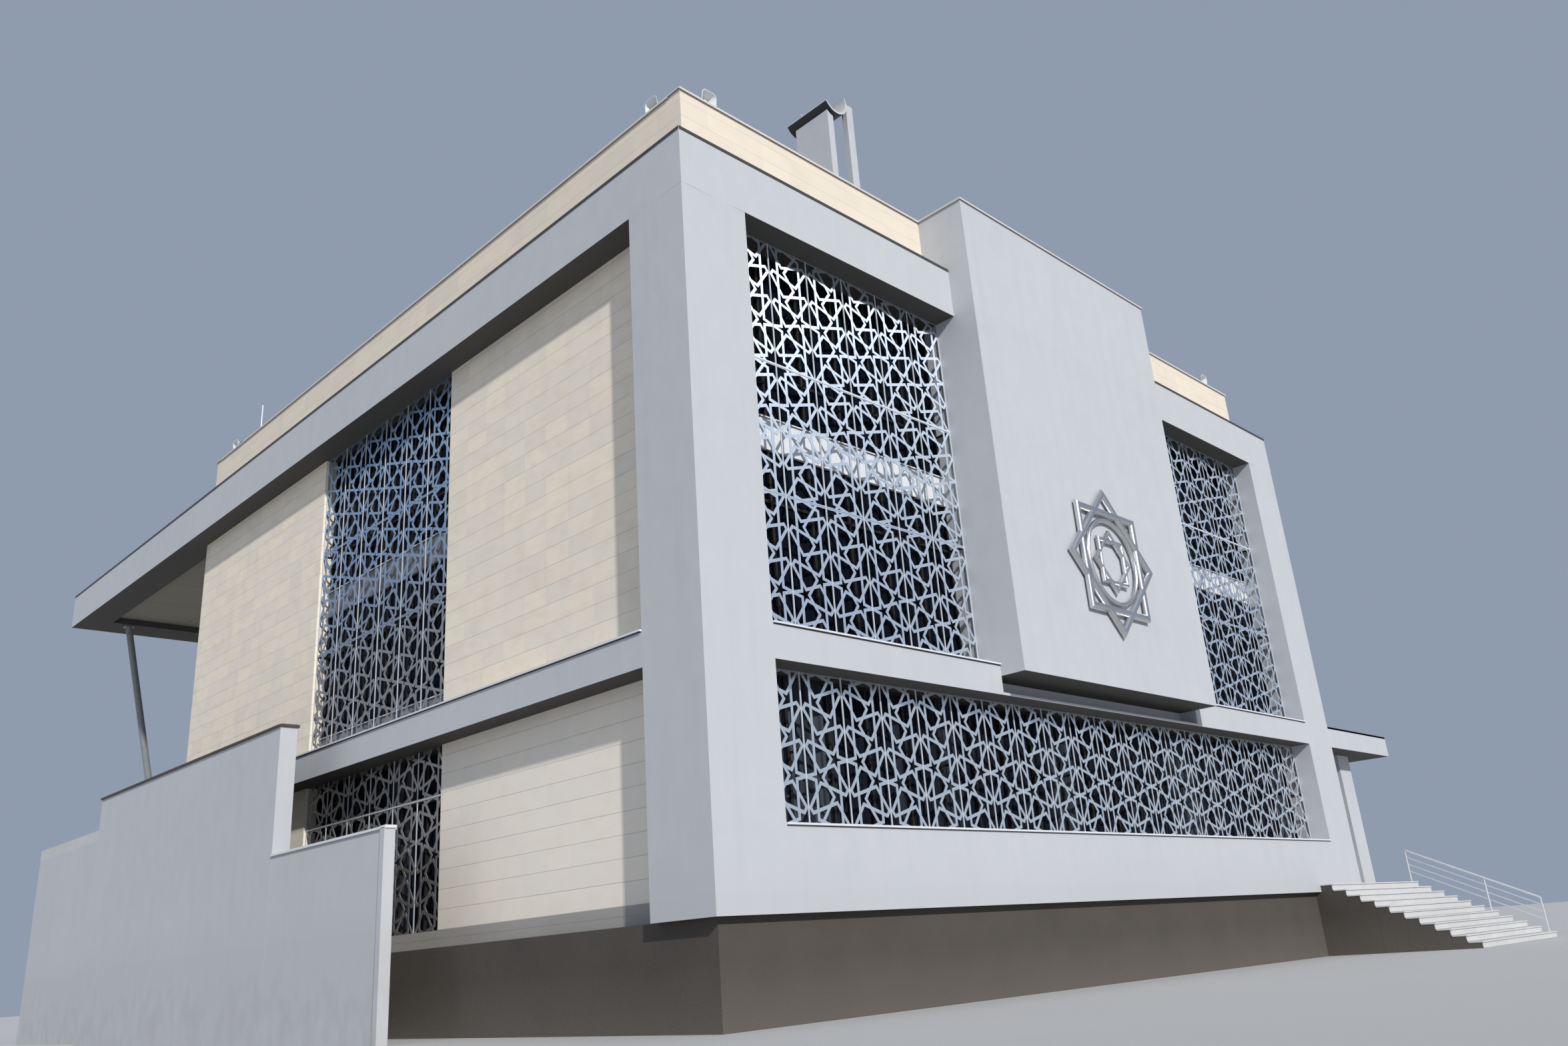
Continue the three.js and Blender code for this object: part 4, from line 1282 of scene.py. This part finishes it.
add_block(
    body_shape, (steps_low.x + BODY_INSET, SLAB_BED, steps_low.z),
    (canopy_edge - SLAB_BED, plinth_low.y - SLAB_BED, FRAME_FOOT - SLAB_BED), 0.003,
)
new_piece("stone_steps", shape, white_stone, ["steps_and_landing"])
# The steps' body is coloured near black.
new_piece("steps_body", body_shape, dark_render)


# Handrail on the right edge of the steps: three posts, a sloping top rail and three thin rails, all round
# steel welded together, with a small flange on the tread under each post.
rail_low, rail_high = reach("step_handrail")
RAIL_X = (rail_low.x + rail_high.x) / 2
POST_TREADS = (0, 6, 10)
POST_RADIUS = 0.020
FLANGE_RADIUS = 0.052
FLANGE_THICKNESS = 0.008
RAIL_HEIGHTS = ((0.84, 0.027), (0.655, 0.013), (0.47, 0.013), (0.285, 0.013))
rail_steel, shader, place, facing = new_finish("rail_steel", 0.35, 0.5)
wear = place.noise(11.0, 4.0)
wear.blend((0.70, 0.72, 0.76), (0.80, 0.81, 0.84)).into(shader, "Base Color")
(0.30 + wear * 0.14).into(shader, "Roughness")
(place.noise(80.0, 3.0) * 0.0001).relief(shader)

shape = bmesh.new()
feet = []
for tread in POST_TREADS:
    spot = Vector((RAIL_X, LANDING_NOSE - GOING * tread + GOING / 2, steps_high.z - RISE * tread))
    feet.append(spot)
    add_rod(shape, spot, spot + Vector((0.0, 0.0, RAIL_HEIGHTS[0][0])), POST_RADIUS, 24)
    add_rod(shape, spot, spot + Vector((0.0, 0.0, FLANGE_THICKNESS)), FLANGE_RADIUS, 32)
for height, radius in RAIL_HEIGHTS:
    lift = Vector((0.0, 0.0, height))
    add_rod(shape, feet[0] + lift, feet[-1] + lift, radius, 20)
new_piece("steel_handrail", shape, rail_steel, ["step_handrail"])


# Side canopy over the landing: a plastered slab between the side wall and one post. A dark metal angle runs
# along its top edge, and its roof is lapped felt like that of the hall.
side_low, side_high = reach("side_canopy")
shape = bmesh.new()
edge_path = [
    (side_low.x, side_low.y, side_high.z), (side_high.x, side_low.y, side_high.z),
    (side_high.x, side_high.y, side_high.z), (side_low.x, side_high.y, side_high.z),
]
add_sweep(shape, edge_path, flush_trim, (0.0, 0.0, 1.0))
new_piece("side_canopy_trim", shape, dark_trim)

shape = bmesh.new()
beads = bmesh.new()
side_across = (side_low.x + 0.002, side_high.x - TRIM_REACH)
side_run = (side_low.y + TRIM_REACH, side_high.y - TRIM_REACH)
add_membrane(shape, beads, side_across, side_run, side_high.z)
new_piece("side_canopy_membrane", shape, membrane)
new_piece("side_canopy_seams", beads, bitumen)


# Horn loudspeakers near the corners of the parapet, a thin mast and a small junction box. The horns are
# pressed metal in white coating, each with a folded rim, a driver behind it and two arms on the coping.
HORN_MOUTH = (0.34, 0.29)
HORN_THROAT = (0.09, 0.08)
HORN_LENGTH = 0.26
HORN_WALL = 0.006
HORN_RISE = 0.29
HORN_FALL = 0.12
HORN_RIM = 0.012
DRIVER_LENGTH = 0.12
DRIVER_RADIUS = 0.062
HORN_NECK_START = 0.02
HORN_NECK_END = 0.15
HORN_NECK_RADIUS = 0.030
HORN_NECK_MOUTH_RADIUS = 0.042
ARM_FROM_MIDDLE = 0.075
ARM_RADIUS = 0.009
ARM_FLANGE_RADIUS = 0.1
ARM_FLANGE_THICKNESS = 0.012
HORN_FROM_CORNER = 0.84
FRONT_HORN_FROM_CORNER = HORN_FROM_CORNER * 0.85


def horn_ring(along, outset):
    """Half width and half height of the flare at a distance from its throat, from 0 to 1."""
    swell = along ** 1.8
    wide = HORN_THROAT[0] + (HORN_MOUTH[0] - HORN_THROAT[0]) * swell
    tall = HORN_THROAT[1] + (HORN_MOUTH[1] - HORN_THROAT[1]) * swell
    return wide / 2 + outset, tall / 2 + outset


def rounded_corners(wide, tall, radius, steps=5):
    """Points round a rectangle of these half sizes with rounded corners."""
    points = []
    for number in range(4):
        x = (wide - radius) * (1 if number in (0, 3) else -1)
        z = (tall - radius) * (1 if number in (0, 1) else -1)
        for step in range(steps + 1):
            angle = math.radians(90.0 * (number + step / steps))
            points.append((x + radius * math.cos(angle), z + radius * math.sin(angle)))
    return points


def add_horn(shape, foot, outward):
    """A horn on its bracket. Its mouth faces outward and a little down."""
    outward = Vector(outward).normalized()
    sideways = Vector((0.0, 0.0, 1.0)).cross(outward)
    facing = (outward + Vector((0.0, 0.0, -HORN_FALL))).normalized()
    upward = facing.cross(sideways)
    centre = Vector(foot) + Vector((0.0, 0.0, HORN_RISE)) - facing * HORN_LENGTH
    rings = []
    stations = [(number / 8, HORN_WALL / 2) for number in range(9)]
    stations += [(1.0, HORN_RIM), (1.02, HORN_RIM), (1.02, -HORN_WALL / 2)]
    stations += [(number / 8, -HORN_WALL / 2) for number in reversed(range(9))]
    for along, outset in stations:
        wide, tall = horn_ring(min(along, 1.0), outset)
        corner = min(wide, tall) * 0.6
        spot = centre + facing * HORN_LENGTH * along
        rings.append([
            shape.verts.new(spot + sideways * x + upward * z)
            for x, z in rounded_corners(wide, tall, corner)
        ])
    count = len(rings[0])
    for near, far in zip(rings, rings[1:] + rings[:1]):
        for number in range(count):
            beyond = (number + 1) % count
            shape.faces.new((near[number], near[beyond], far[beyond], far[number]))
    neck = centre + facing * HORN_NECK_START
    add_rod(shape, centre - facing * DRIVER_LENGTH, neck, DRIVER_RADIUS, 24)
    neck_end = centre + facing * HORN_NECK_END
    add_rod(shape, neck, neck_end, HORN_NECK_RADIUS, 20, HORN_NECK_MOUTH_RADIUS)
    base = centre + facing * HORN_LENGTH * 0.5
    base.z = foot[2]
    for side in (-1, 1):
        arm = centre + facing * HORN_LENGTH * 0.5 + sideways * side * ARM_FROM_MIDDLE
        add_rod(shape, Vector((arm.x, arm.y, foot[2])), arm, ARM_RADIUS, 16)
    add_rod(shape, base, base + Vector((0.0, 0.0, ARM_FLANGE_THICKNESS)), ARM_FLANGE_RADIUS, 32)


horn_coat, shader, place, facing = new_finish("horn_coat", 0.45)
weathering = place.noise(6.0, 5.0)
weathering.blend((0.60, 0.63, 0.64), (0.72, 0.75, 0.75)).into(shader, "Base Color")
(0.38 + weathering * 0.2).into(shader, "Roughness")
(place.noise(90.0, 3.0) * 0.0002).relief(shader)

shape = bmesh.new()
near_low, near_high = reach("parapet_left")
coping_top = near_high.z + COPING_THICKNESS
left_x = near_low.x + PARAPET_HALF
right_x = reach("parapet_right")[1].x - PARAPET_HALF
front_y = reach("parapet_front_left")[0].y + PARAPET_HALF
hall_back = reach("parapet_back")[1].y
for place_y in (front_y + HORN_FROM_CORNER, hall_back - HORN_FROM_CORNER):
    add_horn(shape, (left_x, place_y, coping_top), (-1.0, 0.0, 0.0))
    add_horn(shape, (right_x, place_y, coping_top), (1.0, 0.0, 0.0))
for place_x in (left_x + FRONT_HORN_FROM_CORNER, right_x - FRONT_HORN_FROM_CORNER):
    add_horn(shape, (place_x, front_y, coping_top), (0.0, -1.0, 0.0))
new_piece("horn_loudspeakers", shape, horn_coat)

MAST_PLACE = (left_x, 19.24)
MAST_HEIGHT = 0.88
MAST_RADIUS = 0.019
MAST_FLANGE_RADIUS = 0.06
MAST_FLANGE_THICKNESS = 0.015
shape = bmesh.new()
mast_foot = Vector((*MAST_PLACE, coping_top))
add_rod(shape, mast_foot, mast_foot + Vector((0.0, 0.0, MAST_HEIGHT)), MAST_RADIUS, 20)
add_rod(shape, mast_foot, mast_foot + Vector((0.0, 0.0, MAST_FLANGE_THICKNESS)), MAST_FLANGE_RADIUS, 24)
new_piece("parapet_mast", shape, white_coat)

BOX_PLACE = (left_x, 20.5)
BOX_HALF_WIDTH = 0.07
BOX_HALF_LENGTH = 0.13
BOX_HEIGHT = 0.17
shape = bmesh.new()
box_x, box_y = BOX_PLACE
add_block(
    shape, (box_x - BOX_HALF_WIDTH, box_y - BOX_HALF_LENGTH, coping_top),
    (box_x + BOX_HALF_WIDTH, box_y + BOX_HALF_LENGTH, coping_top + BOX_HEIGHT), 0.01,
)
new_piece("junction_box", shape, dark_trim)


# Minaret: a long plastered slab and a thin post carry a half-round trough of painted metal between their
# heads, like a crescent boat. It is dark outside and pale inside, and a small lamp stands on its left rim.
TROUGH_RADIUS = 0.735
TROUGH_INNER_RADIUS = 0.68
TROUGH_INNER_SHIFT = (-0.015, 0.045)
TROUGH_LEFT_LIP = 211.0
TROUGH_RIGHT_LIP = 389.0
TROUGH_FRONT_OVERHANG = 0.16
TROUGH_FROM_SLAB_EDGE = 0.44
TROUGH_UNDER_TOP = 0.002
TROUGH_STEPS = 48
trough_low, trough_high = reach("minaret_trough")
trough_centre_x = reach("minaret_slab")[0].x + TROUGH_FROM_SLAB_EDGE
lip_rise = TROUGH_INNER_SHIFT[1] + TROUGH_INNER_RADIUS * math.sin(math.radians(TROUGH_RIGHT_LIP))
trough_centre_z = trough_high.z - TROUGH_UNDER_TOP - lip_rise

trough_paint, shader, place, facing = new_finish("trough_paint", 0.5, 0.1)
haze = place.noise(1.4, 5.0)
fine = place.noise(50.0, 3.0)
aside = place.axis(0) - trough_centre_x
above = place.axis(2) - trough_centre_z
from_axis = (aside * aside + above * above).maths("SQRT")
end_face = facing.axis(1).maths("ABSOLUTE").band(0.4, 0.6)
OUTER_SKIN = (TROUGH_RADIUS - 0.022, TROUGH_RADIUS - 0.016)
outer = from_axis.band(*OUTER_SKIN) * (1.0 - end_face)
inside = haze.blend((0.52, 0.53, 0.55), (0.64, 0.65, 0.67))
outer.blend(inside, haze.blend((0.022, 0.026, 0.028), (0.040, 0.044, 0.046))).into(shader, "Base Color")
(0.42 + fine * 0.16).into(shader, "Roughness")
(fine * 0.0002).relief(shader)


def trough_arc(radius, shift_across, shift_up):
    """The trough's section from its left lip round its bottom to its right lip, as (across, up)."""
    arc = []
    for number in range(TROUGH_STEPS + 1):
        turn = TROUGH_LEFT_LIP + (TROUGH_RIGHT_LIP - TROUGH_LEFT_LIP) * number / TROUGH_STEPS
        angle = math.radians(turn)
        arc.append((shift_across + radius * math.cos(angle), shift_up + radius * math.sin(angle)))
    return arc


outer_arc = trough_arc(TROUGH_RADIUS, 0.0, 0.0)
inner_arc = trough_arc(TROUGH_INNER_RADIUS, *TROUGH_INNER_SHIFT)
section = outer_arc + inner_arc[::-1]
shape = bmesh.new()
trough_run = [
    (trough_centre_x, trough_low.y - TROUGH_FRONT_OVERHANG, trough_centre_z),
    (trough_centre_x, trough_high.y, trough_centre_z),
]
add_sweep(shape, trough_run, [(-x, z) for x, z in section], (0.0, 0.0, 1.0))
LAMP_FROM_LIP = 0.02
LAMP_ALONG = 16.85
LAMP_STEM = 0.10
LAMP_STEM_RADIUS = 0.012
LAMP_TOP = 0.175
LAMP_RADIUS = 0.04
LAMP_TOP_RADIUS = 0.03
lip_x, lip_z = section[0]
lamp_foot = Vector((trough_centre_x + lip_x + LAMP_FROM_LIP, LAMP_ALONG, trough_centre_z + lip_z))
lamp_neck = lamp_foot + Vector((0.0, 0.0, LAMP_STEM))
lamp_top = lamp_foot + Vector((0.0, 0.0, LAMP_TOP))
add_rod(shape, lamp_foot, lamp_neck, LAMP_STEM_RADIUS, 16)
add_rod(shape, lamp_neck, lamp_top, LAMP_RADIUS, 20, LAMP_TOP_RADIUS)
new_piece("crescent_trough", shape, trough_paint, ["minaret_trough"])


# Garden walls beside the left side, plastered like the frame. The tall one has a dark coping in lengths.
# The low one ends in a slim pier that stands a little proud of it, and both have a white metal cap.
COPING_END = 0.03
COPING_EDGE = 0.05
COPING_RISE = 0.06
tall_low, tall_high = reach("garden_wall")
tall_middle = (tall_low.x + tall_high.x) / 2
tall_half = (tall_high.x - tall_low.x) / 2
eaves = tall_half + COPING_OVERHANG
tall_cap = [
    (-eaves, 0.0), (eaves, 0.0), (eaves, COPING_EDGE),
    (tall_half, COPING_RISE), (-tall_half, COPING_RISE), (-eaves, COPING_EDGE),
]
start = (tall_middle, tall_low.y - COPING_END, tall_high.z)
end = (tall_middle, tall_high.y + COPING_END, tall_high.z)
shape = bmesh.new()
add_lengths(shape, start, end, tall_cap, length=1.2)
new_piece("garden_wall_coping", shape, dark_render)

PIER_WIDTH = 0.20
PIER_DEPTH = 0.16
PIER_PROUD = 0.04
PIER_BACK = 0.47
PIER_ABOVE_WALL = 0.005
LOW_WALL_THICKNESS = 0.25
LOW_WALL_TOP = 1.65
wall_low, wall_high = reach("low_garden_wall")
low_face = wall_low.x + PIER_PROUD
pier_back = wall_low.y + PIER_BACK
pier_low = Vector((wall_low.x, pier_back - PIER_DEPTH, wall_low.z))
pier_high = Vector((wall_low.x + PIER_WIDTH, pier_back, LOW_WALL_TOP + PIER_ABOVE_WALL))
shape = bmesh.new()
add_block(
    shape, (low_face, pier_back + 0.001, wall_low.z),
    (low_face + LOW_WALL_THICKNESS, wall_high.y, LOW_WALL_TOP),
)
add_block(shape, pier_low, pier_high)
new_piece("low_wall_with_pier", shape, plaster, ["low_garden_wall"])

LOW_CAP_HALF = LOW_WALL_THICKNESS / 2 + 0.03
LOW_CAP_THICKNESS = 0.03
LOW_CAP_DRIP = 0.015
LOW_CAP_START = 0.022
LOW_CAP_END = 0.002
PIER_CAP_LAP = 0.02
PIER_CAP_RISE = 0.035
low_middle = low_face + LOW_WALL_THICKNESS / 2
low_cap = cap_section(LOW_CAP_HALF, LOW_CAP_HALF, LOW_CAP_THICKNESS, LOW_CAP_DRIP)
start = (low_middle, pier_back + LOW_CAP_START, LOW_WALL_TOP)
end = (low_middle, wall_high.y - LOW_CAP_END, LOW_WALL_TOP)
shape = bmesh.new()
add_lengths(shape, start, end, low_cap)
add_block(
    shape, (pier_low.x, pier_low.y - PIER_CAP_LAP, pier_high.z - PIER_CAP_LAP),
    (pier_high.x + PIER_CAP_LAP, pier_high.y + PIER_CAP_LAP, pier_high.z + PIER_CAP_RISE), 0.008,
)
new_piece("low_wall_copings", shape, white_coat)


# Studio floor: a wide plain grey sheet under the model, with faint cloudy tones. It belongs to the studio
# and not to the building.
FLOOR_SIZE = 400.0
FLOOR_DROP = 0.001
floor_paint, shader, place, facing = new_finish("floor", 0.8)
shade = place.noise(0.15, 3.0)
shade.blend((0.46, 0.46, 0.46), (0.50, 0.50, 0.50)).into(shader, "Base Color")
floor_mesh = bpy.data.meshes.new("floor")
signs = ((-1, -1), (1, -1), (1, 1), (-1, 1))
corners = [(x * FLOOR_SIZE, y * FLOOR_SIZE, -FLOOR_DROP) for x, y in signs]
floor_mesh.from_pydata(corners, [], [(0, 1, 2, 3)])
floor_mesh.materials.append(floor_paint)
floor = bpy.data.objects.new("floor", floor_mesh)
bpy.context.scene.collection.objects.link(floor)
